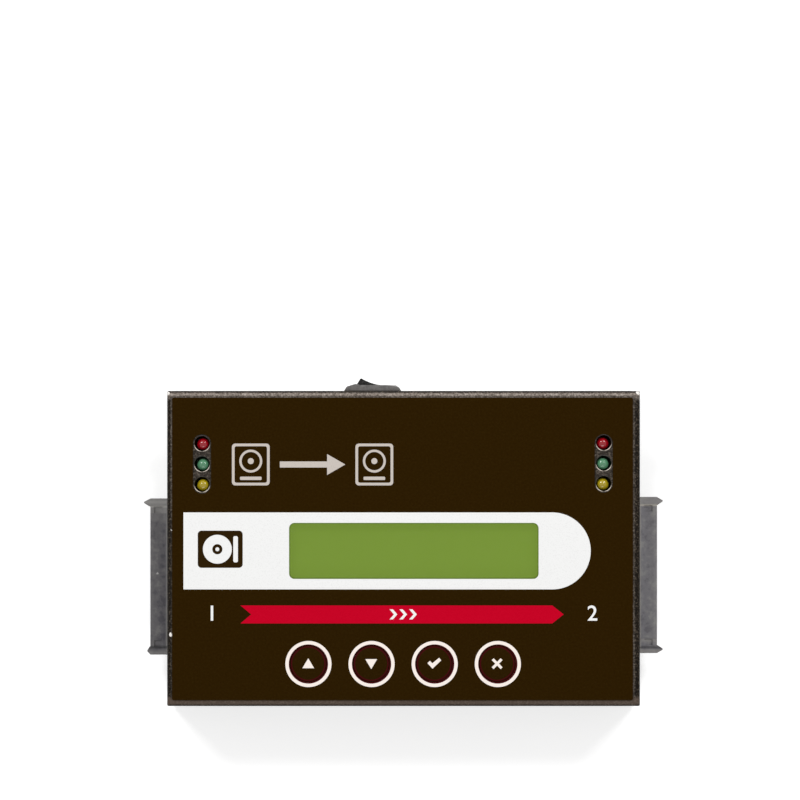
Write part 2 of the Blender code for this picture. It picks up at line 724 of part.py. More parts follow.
def make_screws():
    """Cover screws reach up through the base plate and the lugs; panel screws go down into the spacers."""
    seat = BASE_UNDER - GAP
    cover_screw = make_screw("cover_screw", LUG_TOP + COVER_SCREW_PROUD - seat)
    place_x = HALF_LENGTH - COVER_SCREW_INSET
    place_y = HALF_DEPTH - COVER_SCREW_INSET
    for screw in copies(cover_screw, [("cover_screw_" + name, (i * place_x, j * place_y, seat))
                                      for name, i, j in CORNER_SIGNS]):
        screw.rotation_euler.x = math.pi
    panel_screw = make_screw("panel_screw", GAP + BOARD_THICKNESS + GAP + panel_screw_grip())
    copies(panel_screw, [("panel_screw_" + name, (i * BOSS_X, j * BOSS_Y, PANEL_SEAT))
                         for name, i, j in CORNER_SIGNS])


def make_spacers():
    """Hex spacers: a stud goes down through the main board into a boss, and a bore takes the panel screw."""
    low, high = MAIN_SEAT, PANEL_UNDER - GAP
    stud_end = MAIN_UNDER - GAP - BASE_SHEET + LAP
    spacer = cylinder("spacer", SPACER_RADIUS, low, high, steps=6)
    join(spacer, cylinder("stud", SPACER_STUD, stud_end, low + LAP, steps=SMALL_STEPS))
    cut(spacer, cylinder("bore", SCREW_CLEARANCE_RADIUS, high - panel_screw_grip() - GAP, high + OVERRUN,
                         steps=SMALL_STEPS))
    settle(spacer)
    paint(spacer, BRASS_METAL)
    copies(spacer, [("spacer_" + name, (i * BOSS_X, j * BOSS_Y, 0)) for name, i, j in CORNER_SIGNS])


def make_overlay():
    """Printed film on the cover, with openings for the window, the lamps and the keys."""
    edge = rounded(rectangle(CASE_LENGTH - 2 * FILM_MARGIN, CASE_DEPTH - 2 * FILM_MARGIN), FILM_CORNER)
    window = rounded(rectangle(WINDOW_LENGTH, WINDOW_DEPTH, (WINDOW_SHIFT_X, WINDOW_SHIFT_Y)), WINDOW_CORNER)
    loops = [edge, window]
    for _, x in key_places():
        loops.append(circle(KEY_RADIUS + KEY_SLIT, (x, KEY_Y), FINE_STEPS))
    run = LAMP_PITCH * (len(LAMP_NAMES) - 1)
    slot_length = run + 2 * LAMP_SLOT_MARGIN
    for i in (-1, 1):
        slot = rectangle(LAMP_SLOT_WIDTH, slot_length, (i * LAMP_X, LAMP_Y - run / 2))
        loops.append(rounded(slot, LAMP_SLOT_WIDTH * LAMP_SLOT_ROUND_SHARE, 2 * CORNER_STEPS))
    film = outline_plate("overlay_panel", loops, FILM_UNDER, FILM_TOP)
    paint(film, FILM_BROWN)


def make_window():
    """Clear insert: a flange under the cover and a raised face that comes up flush with the film."""
    centre = (WINDOW_SHIFT_X, WINDOW_SHIFT_Y)
    margin = 2 * WINDOW_FLANGE_MARGIN
    flange = rectangle(WINDOW_LENGTH + margin, WINDOW_DEPTH + margin, centre)
    window = outline_plate("display_window", [rounded(flange, WINDOW_CORNER)], FLANGE_UNDER, FLANGE_TOP)
    face = rectangle(WINDOW_LENGTH - 2 * GAP, WINDOW_DEPTH - 2 * GAP, centre)
    outline = rounded(face, WINDOW_CORNER - GAP)
    join(window, outline_plate("window_face", [outline], FLANGE_TOP - LAP, FILM_TOP))
    paint(window, CLEAR_PLASTIC)


def make_display():
    """Character display: board, metal frame, glass, backlight, and the header that carries it."""
    centre_x, centre_y = WINDOW_SHIFT_X, WINDOW_SHIFT_Y
    frame_x = WINDOW_LENGTH / 2 + DISPLAY_FRAME_MARGIN_X
    frame_y = WINDOW_DEPTH / 2 + DISPLAY_FRAME_MARGIN_Y
    frame = block("display_frame", (centre_x - frame_x, centre_y - frame_y, DISPLAY_UNDER),
                  (centre_x + frame_x, centre_y + frame_y, DISPLAY_TOP))
    inner_x, inner_y = frame_x - DISPLAY_FRAME_SHEET, frame_y - DISPLAY_FRAME_SHEET
    cut(frame, block("display_cavity", (centre_x - inner_x, centre_y - inner_y, DISPLAY_UNDER - OVERRUN),
                     (centre_x + inner_x, centre_y + inner_y, DISPLAY_TOP - DISPLAY_FRAME_SHEET)))
    view_x = WINDOW_LENGTH / 2 + DISPLAY_VIEW_MARGIN_X
    view_y = WINDOW_DEPTH / 2 + DISPLAY_VIEW_MARGIN_Y
    cut(frame, block("display_view", (centre_x - view_x, centre_y - view_y, DISPLAY_UNDER),
                     (centre_x + view_x, centre_y + view_y, DISPLAY_TOP + OVERRUN)))
    paint(frame, BLACK_PLASTIC)

    glass_x, glass_y = inner_x - GAP, inner_y - GAP
    glass_top = DISPLAY_TOP - DISPLAY_FRAME_SHEET - GAP
    glass_under = glass_top - DISPLAY_GLASS
    glass = block("display_glass", (centre_x - glass_x, centre_y - glass_y, glass_under),
                  (centre_x + glass_x, centre_y + glass_y, glass_top))
    paint(glass, DISPLAY_GREEN)
    backlight = block("display_backlight", (centre_x - glass_x, centre_y - glass_y, DISPLAY_UNDER),
                      (centre_x + glass_x, centre_y + glass_y, glass_under - GAP))
    paint(backlight, BACKLIGHT_WHITE)

    board_centre = (centre_x, centre_y + DISPLAY_BOARD_SHIFT_Y)
    board_x = frame_x + DISPLAY_BOARD_MARGIN_X
    board_y = frame_y + DISPLAY_BOARD_MARGIN_Y
    loops = [rounded(rectangle(2 * board_x, 2 * board_y, board_centre), BOARD_CORNER)]
    for _, i, j in CORNER_SIGNS:
        hole_x = board_centre[0] + i * (board_x - DISPLAY_HOLE_INSET)
        hole_y = board_centre[1] + j * (board_y - DISPLAY_HOLE_INSET)
        loops.append(circle(DISPLAY_HOLE_RADIUS, (hole_x, hole_y), SMALL_STEPS))
    paint(outline_plate("display_board", loops, DISPLAY_BOARD_UNDER, DISPLAY_BOARD_TOP), BOARD_GREEN)

    half = HEADER_PITCH * HEADER_WAYS / 2
    header_y = board_centre[1] + board_y - HEADER_INSET
    front, rear = [], []
    for i in range(HEADER_WAYS):
        left = -half + HEADER_PITCH * i
        for x, y in ((left, HEADER_NICK - HEADER_WIDTH / 2), (left + HEADER_NICK, -HEADER_WIDTH / 2),
                     (left + HEADER_PITCH - HEADER_NICK, -HEADER_WIDTH / 2)):
            front.append((centre_x + x, header_y + y))
            rear.append((centre_x - x, header_y - y))
    paint(outline_plate("display_header", [front + rear], PANEL_SEAT, HEADER_TOP), BLACK_PLASTIC)


def make_lamps():
    """Domed indicator lamps on two leads, their tips just below the face of the metal."""
    tip = COVER_TOP - LAMP_RECESS
    barrel_top = tip - LAMP_RADIUS
    flange_top = barrel_top - LAMP_BARREL_HEIGHT
    flange_under = flange_top - LAMP_FLANGE_HEIGHT
    turns = [math.pi / 2 * i / DOME_STEPS for i in range(DOME_STEPS + 1)]
    dome = [(LAMP_RADIUS * math.sin(a), barrel_top + LAMP_RADIUS * math.cos(a)) for a in turns]
    profile = dome + [(LAMP_RADIUS, flange_top), (LAMP_FLANGE_RADIUS, flange_top),
                      (LAMP_FLANGE_RADIUS, flange_under), (0, flange_under)]
    half = LAMP_LEAD / 2
    offset = LAMP_LEAD_SPACING / 2
    for colour in LAMP_NAMES:
        lamp = turned("lamp", profile, ROUND_STEPS)
        cut(lamp, block("flat", (LAMP_FLANGE_RADIUS - LAMP_FLAT, -LAMP_FLANGE_RADIUS, flange_under - OVERRUN),
                        (LAMP_FLANGE_RADIUS + OVERRUN, LAMP_FLANGE_RADIUS, flange_top + LAP)))
        join(lamp, bars("leads", [((x - half, -half, PANEL_SEAT), (x + half, half, flange_under + LAP))
                                  for x in (-offset, offset)]))
        settle(lamp)
        smooth(lamp)
        paint(lamp, (LAMP_COLOURS[colour], 0.15, 0.0), "lamp_" + colour)
        copies(lamp, [(side + "_lamp_" + colour, (x, y, 0))
                      for side, shade, x, y in lamp_places() if shade == colour])


def make_keys():
    """Each key: a disc of the film, the switch under it on the panel board, and that switch's plunger."""
    disc = cylinder("key", KEY_RADIUS, FILM_UNDER, FILM_TOP, steps=FINE_STEPS)
    settle(disc)
    smooth(disc)
    paint(disc, FILM_BROWN)
    copies(disc, [("key_" + name, (x, KEY_Y, 0)) for name, x in key_places()])

    low, high = PANEL_SEAT, PANEL_SEAT + SWITCH_HEIGHT
    foot_top = high - SWITCH_ROOF - GAP
    foot_under = foot_top - PLUNGER_FOOT_HEIGHT
    plunger_top = FILM_UNDER - GAP
    profile = [(0, plunger_top), (PLUNGER_RADIUS - PLUNGER_CLEARANCE, plunger_top),
               (PLUNGER_RADIUS, plunger_top - PLUNGER_CLEARANCE), (PLUNGER_RADIUS, foot_top),
               (PLUNGER_FOOT_RADIUS, foot_top), (PLUNGER_FOOT_RADIUS, foot_under), (0, foot_under)]
    plunger = settle(turned("plunger", profile, ROUND_STEPS))
    smooth(plunger)
    paint(plunger, BLACK_PLASTIC)
    copies(plunger, [("key_plunger_" + name, (x, KEY_Y, 0)) for name, x in key_places()])

    half = SWITCH_SIDE / 2
    switch = block("switch", (-half, -half, low), (half, half, high))
    bevel(switch, SWITCH_BEVEL, 1)
    well_radius = PLUNGER_FOOT_RADIUS + PLUNGER_CLEARANCE
    well_floor = foot_under - KEY_TRAVEL - GAP
    legs = []
    for i in (-1, 1):
        for j in (-1, 1):
            near, far = i * (half - LAP), i * (half + SWITCH_LEG_REACH)
            middle = j * SWITCH_LEG_SPREAD / 2
            legs.append(((min(near, far), middle - SWITCH_LEG_WIDTH / 2, low),
                         (max(near, far), middle + SWITCH_LEG_WIDTH / 2, low + SWITCH_LEG_HEIGHT)))
    well = [(0, high + OVERRUN), (PLUNGER_RADIUS + PLUNGER_CLEARANCE, high + OVERRUN),
            (PLUNGER_RADIUS + PLUNGER_CLEARANCE, high - SWITCH_ROOF), (well_radius, high - SWITCH_ROOF),
            (well_radius, well_floor), (0, well_floor)]
    join(switch, bars("legs", legs))
    cut(switch, turned("plunger_well", well, ROUND_STEPS))
    settle(switch)
    paint(switch, BLACK_PLASTIC)
    copies(switch, [("key_switch_" + name, (x, KEY_Y, 0)) for name, x in key_places()])


def make_main_board():
    """Main board with cut corners round the lugs, stud holes, and holes for the sockets' pegs."""
    x, y = HALF_LENGTH - MAIN_BOARD_SIDE_MARGIN, HALF_DEPTH - MAIN_BOARD_END_MARGIN
    inner_x, inner_y = x - MAIN_BOARD_NOTCH_X, y - MAIN_BOARD_NOTCH_Y
    edge = [(-inner_x, -y), (inner_x, -y), (inner_x, -inner_y), (x, -inner_y),
            (x, inner_y), (inner_x, inner_y), (inner_x, y), (-inner_x, y),
            (-inner_x, inner_y), (-x, inner_y), (-x, -inner_y), (-inner_x, -inner_y)]
    loops = [rounded(edge, BOARD_CORNER, 1)]
    loops += [circle(STUD_HOLE_RADIUS, (i * BOSS_X, j * BOSS_Y), SMALL_STEPS) for _, i, j in CORNER_SIGNS]
    peg_x = HALF_LENGTH - PEG_SETBACK
    peg_y = SOCKET_WIDTH / 2 - PEG_INSET
    loops += [circle(PEG_RADIUS + PEG_CLEARANCE, (i * peg_x, SOCKET_SHIFT_Y + j * peg_y), SMALL_STEPS)
              for i in (-1, 1) for j in (-1, 1)]
    paint(outline_plate("main_board", loops, MAIN_UNDER, MAIN_TOP), BOARD_GREEN)


def make_board_parts():
    """What stands on the main board: controller, inductor, capacitor and the link to the panel board."""
    half = CHIP_SIDE / 2
    chip = block("controller_chip", (CHIP_SHIFT_X - half, CHIP_SHIFT_Y - half, MAIN_SEAT),
                 (CHIP_SHIFT_X + half, CHIP_SHIFT_Y + half, MAIN_SEAT + CHIP_HEIGHT))
    bevel(chip, CHIP_BEVEL, 1)
    paint(chip, CHIP_BLACK)

    rear = HALF_DEPTH - INLET_DEPTH + INLET_DEPTH / 2
    inductor_x = INLET_X - INLET_WIDTH / 2 - POWER_PARTS_SPACING
    capacitor_x = inductor_x - POWER_PARTS_SPACING
    square = rectangle(INDUCTOR_SIDE, INDUCTOR_SIDE, (inductor_x, rear))
    top = MAIN_SEAT + INDUCTOR_HEIGHT
    inductor = outline_plate("power_inductor", [rounded(square, INDUCTOR_CORNER)], MAIN_SEAT, top)
    cut(inductor, cylinder("inductor_well", INDUCTOR_WELL_RADIUS, top - INDUCTOR_WELL_DEPTH, top + OVERRUN,
                           (inductor_x, rear)))
    paint(inductor, FERRITE_GREY)

    crimp = CAPACITOR_RADIUS - CAPACITOR_CRIMP
    above, waist, below = (share * CAPACITOR_HEIGHT for share in CAPACITOR_BAND_SHARES)
    wall = CAPACITOR_RADIUS
    profile = [(0, CAPACITOR_HEIGHT), (crimp, CAPACITOR_HEIGHT), (wall, CAPACITOR_HEIGHT - CAPACITOR_CRIMP),
               (wall, above), (crimp, waist), (wall, below), (wall, 0), (0, 0)]
    capacitor = turned("power_capacitor", profile, ROUND_STEPS, (capacitor_x, rear, MAIN_SEAT))
    paint(capacitor, TINNED_METAL)

    x, y = LINK_LENGTH / 2, LINK_WIDTH / 2
    link_y = LINK_FRONT_OFFSET - HALF_DEPTH
    link = block("link_connector", (-x, link_y - y, MAIN_SEAT), (x, link_y + y, PANEL_UNDER - GAP))
    low, high = MAIN_SEAT + LINK_RECESS, PANEL_UNDER - GAP - LINK_RECESS
    waist, deep = x - LINK_RECESS, LINK_RECESS / 2
    cut(link, bars("link_waists", [((-waist, side - deep, low), (waist, side + deep, high))
                                   for side in (link_y - y, link_y + y)]))
    paint(link, BLACK_PLASTIC)


def make_panel_board():
    """Panel board: its rear is cut back between the lamps, clear of the rocker and the inlet."""
    x = HALF_LENGTH - PANEL_BOARD_SIDE_MARGIN
    front = PANEL_BOARD_FRONT_MARGIN - HALF_DEPTH
    rear = HALF_DEPTH - PANEL_BOARD_REAR_MARGIN
    notch_y = rear - PANEL_BOARD_NOTCH_DEPTH
    notch_left = ROCKER_SHIFT_X - BEZEL_LENGTH / 2 - PANEL_BOARD_NOTCH_MARGIN
    notch_right = INLET_X + INLET_WIDTH / 2 + PANEL_BOARD_NOTCH_MARGIN
    edge = [(-x, front), (x, front), (x, rear), (notch_right, rear), (notch_right, notch_y),
            (notch_left, notch_y), (notch_left, rear), (-x, rear)]
    loops = [rounded(edge, BOARD_CORNER, 1)]
    for _, i, j in CORNER_SIGNS:
        loops.append(circle(SCREW_CLEARANCE_RADIUS, (i * BOSS_X, j * BOSS_Y), SMALL_STEPS))
    paint(outline_plate("panel_board", loops, PANEL_UNDER, PANEL_TOP), BOARD_GREEN)


def slot_spans():
    """Each keyed slot as its middle along the socket, its width, its contact count and its keyed end."""
    signal = (SIGNAL_CONTACTS - 1) * CONTACT_PITCH + 2 * SLOT_END
    power = (POWER_CONTACTS - 1) * CONTACT_PITCH + 2 * SLOT_END
    left = -(signal + SLOT_WALL + power) / 2
    return [(left + signal / 2, signal, SIGNAL_CONTACTS, 1),
            (left + signal + SLOT_WALL + power / 2, power, POWER_CONTACTS, 1)]


def slot_rise():
    """Half the height of a slot."""
    return SLOT_HEIGHT_SHARE * socket_height() / 2


def slot_outline(middle, width, keyed_end, level, margin):
    """An L: a flat slot, and a key that drops from one of its ends."""
    left, right = middle - width / 2 - margin, middle + width / 2 + margin
    rise = slot_rise() + margin
    low, high = level - rise, level + rise
    drop = low - SLOT_KEY_DROP_SHARE * socket_height()
    key = SLOT_KEY_WIDTH + 2 * margin
    points = [(left, low), (right - key, low), (right - key, drop),
              (right, drop), (right, high), (left, high)]
    return points if keyed_end > 0 else [(2 * middle - u, v) for u, v in reversed(points)]


def facing_plate(name, outline, near, far):
    """A plate whose outline is given across and up, and whose thickness runs along X from near to far."""
    plate = outline_plate(name, [outline], near, far)
    plate.data.transform(Matrix(((0, 0, 1, 0), (1, 0, 0, 0), (0, 1, 0, 0), (0, 0, 0, 1))))
    return plate


def make_sockets():
    """22-contact drive sockets.  The part is shaped once, facing +X with the case's side at x = 0."""
    low, high = socket_levels()
    level = (low + high) / 2
    half = SOCKET_WIDTH / 2
    wide = shoulder_width() / 2
    post_rise = POST_HEIGHT_SHARE * socket_height() / 2
    mouth_margin = SLOT_MOUTH_MARGIN_SHARE * socket_height()
    socket = block("socket", (-SOCKET_INSIDE, -half, low), (SOCKET_REACH, half, high))
    join(socket, block("shoulder", (-SOCKET_SHOULDER_INSIDE, -wide, low - SOCKET_SHOULDER_RISE),
                       (SOCKET_SHOULDER_REACH, wide, high + SOCKET_SHOULDER_RISE)))
    shoulder_start = -SOCKET_SHOULDER_INSIDE + LAP
    for side in (-1, 1):
        inner, outer = side * (half - LAP), side * wide
        tip = half + POST_THICKNESS * POST_TIP_SHARE
        post = [(shoulder_start, inner), (POST_TAPER_START, inner), (POST_REACH, side * (tip - POST_BLUNT)),
                (POST_REACH, side * (tip + POST_BLUNT)), (SOCKET_REACH, outer), (shoulder_start, outer)]
        join(socket, outline_plate("post", [post], level - post_rise, level + post_rise))
    for middle, width, _, keyed_end in slot_spans():
        mouth = slot_outline(middle, width, keyed_end, level, mouth_margin)
        cut(socket, facing_plate("mouth", mouth, SOCKET_REACH - SLOT_MOUTH_DEPTH, SOCKET_REACH + OVERRUN))
        slot = slot_outline(middle, width, keyed_end, level, 0)
        cut(socket, facing_plate("slot", slot, SOCKET_REACH - SLOT_DEPTH, SOCKET_REACH + OVERRUN))
    recess_end = SOCKET_REACH - RECESS_SETBACK
    rim = half - RECESS_RIM
    cut(socket, bars("recesses", [((recess_end - RECESS_LENGTH, y, high - RECESS_DEPTH),
                                   (recess_end, y + RECESS_WIDTH, high + OVERRUN))
                                  for y in (rim - RECESS_WIDTH, -rim)]))
    ribs = []
    floor = level - slot_rise()
    for middle, _, count, _ in slot_spans():
        for i in range(count):
            y = middle + (i - (count - 1) / 2) * CONTACT_PITCH
            near, far = y - CONTACT_WIDTH / 2, y + CONTACT_WIDTH / 2
            ribs.append(((SOCKET_REACH - SLOT_DEPTH - LAP, near, floor - LAP),
                         (SOCKET_REACH - CONTACT_SETBACK, far, floor + CONTACT_RISE)))
    join(socket, bars("contact_ribs", ribs))
    tails, toes = [], []
    tail_end = -SOCKET_INSIDE - TAIL_REACH
    bend = low + TAIL_HEIGHT - TAIL_THICKNESS
    for middle, _, count, _ in slot_spans():
        for i in range(count):
            y = middle + (i - (count - 1) / 2) * CONTACT_PITCH
            near, far = y - CONTACT_WIDTH / 2, y + CONTACT_WIDTH / 2
            tails.append(((tail_end, near, bend), (LAP - SOCKET_INSIDE, far, low + TAIL_HEIGHT)))
            toes.append(((tail_end, near, low), (tail_end + TAIL_THICKNESS, far, bend + LAP)))
    tail_tool = bars("tails", tails)
    join(tail_tool, bars("toes", toes))
    join(socket, settle(tail_tool))
    for j in (-1, 1):
        place = (-PEG_SETBACK, j * (half - PEG_INSET))
        join(socket, cylinder("peg", PEG_RADIUS, MAIN_UNDER, low + LAP, place, SMALL_STEPS))
    settle(socket)
    paint(socket, SOCKET_GREY)
    source, target = copies(socket, [("source_socket", (-HALF_LENGTH, SOCKET_SHIFT_Y, 0)),
                                     ("target_socket", (HALF_LENGTH, SOCKET_SHIFT_Y, 0))])
    source.rotation_euler.z = math.pi


def make_inlet():
    """Power inlet: a moulded block flush with the rear, a round bore, and its centre pin."""
    low, high = inlet_levels()
    level = (low + high) / 2
    half = INLET_WIDTH / 2
    inlet = block("power_inlet", (INLET_X - half, HALF_DEPTH - INLET_DEPTH, low),
                  (INLET_X + half, HALF_DEPTH, high))
    bevel(inlet, INLET_BEVEL, 2)
    floor = INLET_BORE_DEPTH
    seat = floor + INLET_PIN_SEAT
    seat_radius = INLET_PIN_RADIUS + INLET_PIN_CLEARANCE
    bore = [(0, OVERRUN), (INLET_BORE_RADIUS, OVERRUN), (INLET_BORE_RADIUS, -floor), (seat_radius, -floor),
            (seat_radius, -seat), (0, -seat)]
    tool = turned("inlet_bore", bore, FINE_STEPS, (INLET_X, HALF_DEPTH, level))
    tool.rotation_euler.x = -math.pi / 2
    cut(inlet, tool)
    paint(inlet, BLACK_PLASTIC)
    tip = INLET_PIN_RADIUS
    profile = [(0, -INLET_PIN_SETBACK), (tip / 2, -INLET_PIN_SETBACK), (tip, -INLET_PIN_SETBACK - tip / 2),
               (tip, -seat + GAP), (0, -seat + GAP)]
    pin = turned("power_inlet_pin", profile, SMALL_STEPS, (INLET_X, HALF_DEPTH, level))
    pin.rotation_euler.x = -math.pi / 2
    paint(pin, TINNED_METAL)


def make_rocker():
    """Power rocker in the rear side: crowned bezel with its body, and a hollow-faced paddle on an axle."""
    rear = HALF_DEPTH
    half = BEZEL_LENGTH / 2
    flat = half - BEZEL_EDGE
    shares = [2 * i / BEZEL_STEPS - 1 for i in range(BEZEL_STEPS + 1)]
    crown = [(flat * s, BEZEL_END_HEIGHT + BEZEL_CROWN * (1 - s * s)) for s in shares]
    edge = [(half, GAP), (half, BEZEL_END_HEIGHT - BEZEL_EDGE)] + crown[::-1]
    edge += [(-half, BEZEL_END_HEIGHT - BEZEL_EDGE), (-half, GAP)]
    outline = [(ROCKER_SHIFT_X + u, rear + v) for u, v in edge]
    low, high = ROCKER_LEVEL - BEZEL_WIDTH / 2, ROCKER_LEVEL + BEZEL_WIDTH / 2
    bezel = outline_plate("rocker_bezel", [outline], low, high)
    x, rise = ROCKER_BODY_LENGTH / 2, ROCKER_BODY_WIDTH / 2
    join(bezel, block("rocker_body", (ROCKER_SHIFT_X - x, rear - ROCKER_BODY_DEPTH, ROCKER_LEVEL - rise),
                      (ROCKER_SHIFT_X + x, rear + GAP + LAP, ROCKER_LEVEL + rise)))
    x, rise = POCKET_LENGTH / 2, POCKET_WIDTH / 2
    mouth = rear + BEZEL_END_HEIGHT + BEZEL_CROWN + OVERRUN
    cut(bezel, block("paddle_pocket", (ROCKER_SHIFT_X - x, rear - POCKET_DEPTH, ROCKER_LEVEL - rise),
                     (ROCKER_SHIFT_X + x, mouth, ROCKER_LEVEL + rise)))
    axle_half = PADDLE_WIDTH / 2 + AXLE_PROUD
    axle = (ROCKER_SHIFT_X, rear - PIVOT_DEPTH)
    cut(bezel, cylinder("axle_holes", AXLE_RADIUS + AXLE_CLEARANCE, ROCKER_LEVEL - axle_half - GAP,
                        ROCKER_LEVEL + axle_half + GAP, axle, SMALL_STEPS))
    back = rear - ROCKER_BODY_DEPTH
    x, rise = TERMINAL_THICKNESS / 2 + GAP, TERMINAL_WIDTH / 2 + GAP
    middles = [ROCKER_SHIFT_X + i * TERMINAL_SPREAD / 2 for i in (-1, 1)]
    cut(bezel, bars("terminal_slots", [((middle - x, back - OVERRUN, ROCKER_LEVEL - rise),
                                        (middle + x, back + TERMINAL_SEAT + GAP, ROCKER_LEVEL + rise))
                                       for middle in middles]))
    paint(bezel, BEZEL_GREY)

    paddle = outline_plate("rocker_paddle", [paddle_points()], -PADDLE_WIDTH / 2, PADDLE_WIDTH / 2)
    bevel(paddle, PADDLE_EDGE, 1)
    join(paddle, cylinder("axle", AXLE_RADIUS, -axle_half, axle_half, steps=SMALL_STEPS))
    settle(paddle)
    paddle.location = (*axle, ROCKER_LEVEL)
    paddle.rotation_euler.z = -PADDLE_TILT
    smooth(paddle)
    paint(paddle, BLACK_PLASTIC)


def wire_points(start, end):
    """A bend that leaves the terminal forwards and comes down into the plug from above."""
    a, d = Vector(start), Vector(end)
    b = a - Vector((0, WIRE_SWEEP, 0))
    c = d + Vector((0, 0, WIRE_SWEEP))
    points = []
    for i in range(WIRE_STEPS + 1):
        t = i / WIRE_STEPS
        points.append(a * (1 - t) ** 3 + b * 3 * t * (1 - t) ** 2 + c * 3 * t * t * (1 - t) + d * t ** 3)
    return points


def make_rocker_wiring():
    """Two terminals in the rocker's body, and the wires that run from them to a plug on the main board."""
    back = HALF_DEPTH - ROCKER_BODY_DEPTH
    tip = back - TERMINAL_REACH
    plug_rear = tip - PLUG_SETBACK + PLUG_WIDTH
    plug_middle = plug_rear - PLUG_WIDTH / 2
    plug_top = MAIN_SEAT + PLUG_HEIGHT
    plug = block("wire_plug", (ROCKER_SHIFT_X - PLUG_LENGTH / 2, plug_rear - PLUG_WIDTH, MAIN_SEAT),
                 (ROCKER_SHIFT_X + PLUG_LENGTH / 2, plug_rear, plug_top))
    bevel(plug, PLUG_BEVEL, 1)
    paint(plug, HOUSING_WHITE)
    for name, i in (("live", -1), ("return", 1)):
        x = ROCKER_SHIFT_X + i * TERMINAL_SPREAD / 2
        blade = block("rocker_terminal_" + name,
                      (x - TERMINAL_THICKNESS / 2, tip, ROCKER_LEVEL - TERMINAL_WIDTH / 2),
                      (x + TERMINAL_THICKNESS / 2, back + TERMINAL_SEAT, ROCKER_LEVEL + TERMINAL_WIDTH / 2))
        eye = cylinder("eye_" + name, TERMINAL_HOLE_RADIUS, -OVERRUN, OVERRUN, steps=SMALL_STEPS)
        eye.location = (x, tip + TERMINAL_WIDTH / 2, ROCKER_LEVEL)
        eye.rotation_euler.y = math.pi / 2
        cut(blade, eye)
        paint(blade, BRASS_METAL)
        start = (x, tip - GAP, ROCKER_LEVEL)
        end = (ROCKER_SHIFT_X + i * WIRE_PITCH / 2, plug_middle, plug_top + GAP)
        curve = bpy.data.curves.new("rocker_wire_" + name, "CURVE")
        curve.dimensions = "3D"
        curve.bevel_depth = WIRE_RADIUS
        curve.bevel_resolution = 1
        curve.use_fill_caps = True
        spline = curve.splines.new("POLY")
        points = wire_points(start, end)
        spline.points.add(len(points) - 1)
        for point, place in zip(spline.points, points):
            point.co = (*place, 1)
        wire = adopt(bpy.data.objects.new("rocker_wire_" + name, curve))
        paint(wire, (WIRE_COLOURS[name], 0.5, 0.0))


make_top_cover()
make_base_plate()
make_feet()
make_screws()
make_spacers()
make_overlay()
make_window()
make_display()
make_lamps()
make_keys()
make_main_board()
make_board_parts()
make_panel_board()
make_sockets()
make_inlet()
make_rocker()
make_rocker_wiring()
case_centre.location.y = -paddle_reach() / 2
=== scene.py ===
"""A palm-size drive duplicator: folded case, printed film, display, lamps, keys, drive sockets, rocker."""

import json
import math

import bmesh
import bpy
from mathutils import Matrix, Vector


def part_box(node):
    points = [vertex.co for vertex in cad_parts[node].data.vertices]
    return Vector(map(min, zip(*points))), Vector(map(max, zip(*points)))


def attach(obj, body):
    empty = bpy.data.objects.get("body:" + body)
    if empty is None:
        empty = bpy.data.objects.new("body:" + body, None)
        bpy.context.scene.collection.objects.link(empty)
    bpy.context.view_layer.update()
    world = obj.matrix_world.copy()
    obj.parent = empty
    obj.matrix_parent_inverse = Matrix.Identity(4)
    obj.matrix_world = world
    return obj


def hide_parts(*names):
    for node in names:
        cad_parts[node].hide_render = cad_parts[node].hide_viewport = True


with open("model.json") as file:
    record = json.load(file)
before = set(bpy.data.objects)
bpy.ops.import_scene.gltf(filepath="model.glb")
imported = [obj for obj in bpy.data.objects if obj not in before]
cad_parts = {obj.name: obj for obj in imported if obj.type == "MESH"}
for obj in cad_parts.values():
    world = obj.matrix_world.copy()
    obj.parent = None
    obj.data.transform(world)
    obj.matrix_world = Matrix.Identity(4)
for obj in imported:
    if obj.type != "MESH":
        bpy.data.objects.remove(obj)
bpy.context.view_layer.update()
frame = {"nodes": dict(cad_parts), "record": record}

# Studio floor: a plain pale sheet that the duplicator stands on.
# It looks white to the camera and keeps the soft shadow under the case.
FLOOR_SIZE = 6.0
FLOOR_LIFT = 0.5
PAPER_WHITE = (248, 248, 248)
PAPER_ROUGHNESS = 0.9


def linear(colour):
    """An sRGB colour of 0 to 255 as the linear colour that a shader takes."""
    shares = [value / 255 for value in colour]
    return (*[s / 12.92 if s <= 0.04045 else ((s + 0.055) / 1.055) ** 2.4 for s in shares], 1.0)


def deselect():
    if bpy.context.object and bpy.context.object.mode != "OBJECT":
        bpy.ops.object.mode_set(mode="OBJECT")
    bpy.ops.object.select_all(action="DESELECT")


def add_node(tree, kind, operation="", **values):
    """Adds a shader node, with its operation and the values of its named inputs."""
    node = tree.nodes.new("ShaderNode" + kind)
    if operation:
        node.operation = operation
    for label, value in values.items():
        node.inputs[label.replace("_", " ")].default_value = value
    return node


def wire(tree, *pairs):
    for start, end in pairs:
        tree.links.new(start, end)


def seen_directly(tree):
    """Where the pale surroundings are seen, by the camera or in something shiny or clear."""
    path = add_node(tree, "LightPath")
    seen = path.outputs["Is Camera Ray"]
    for ray in ("Is Glossy Ray", "Is Transmission Ray"):
        either = add_node(tree, "Math", "MAXIMUM")
        wire(tree, (seen, either.inputs[0]), (path.outputs[ray], either.inputs[1]))
        seen = either.outputs[0]
    return seen


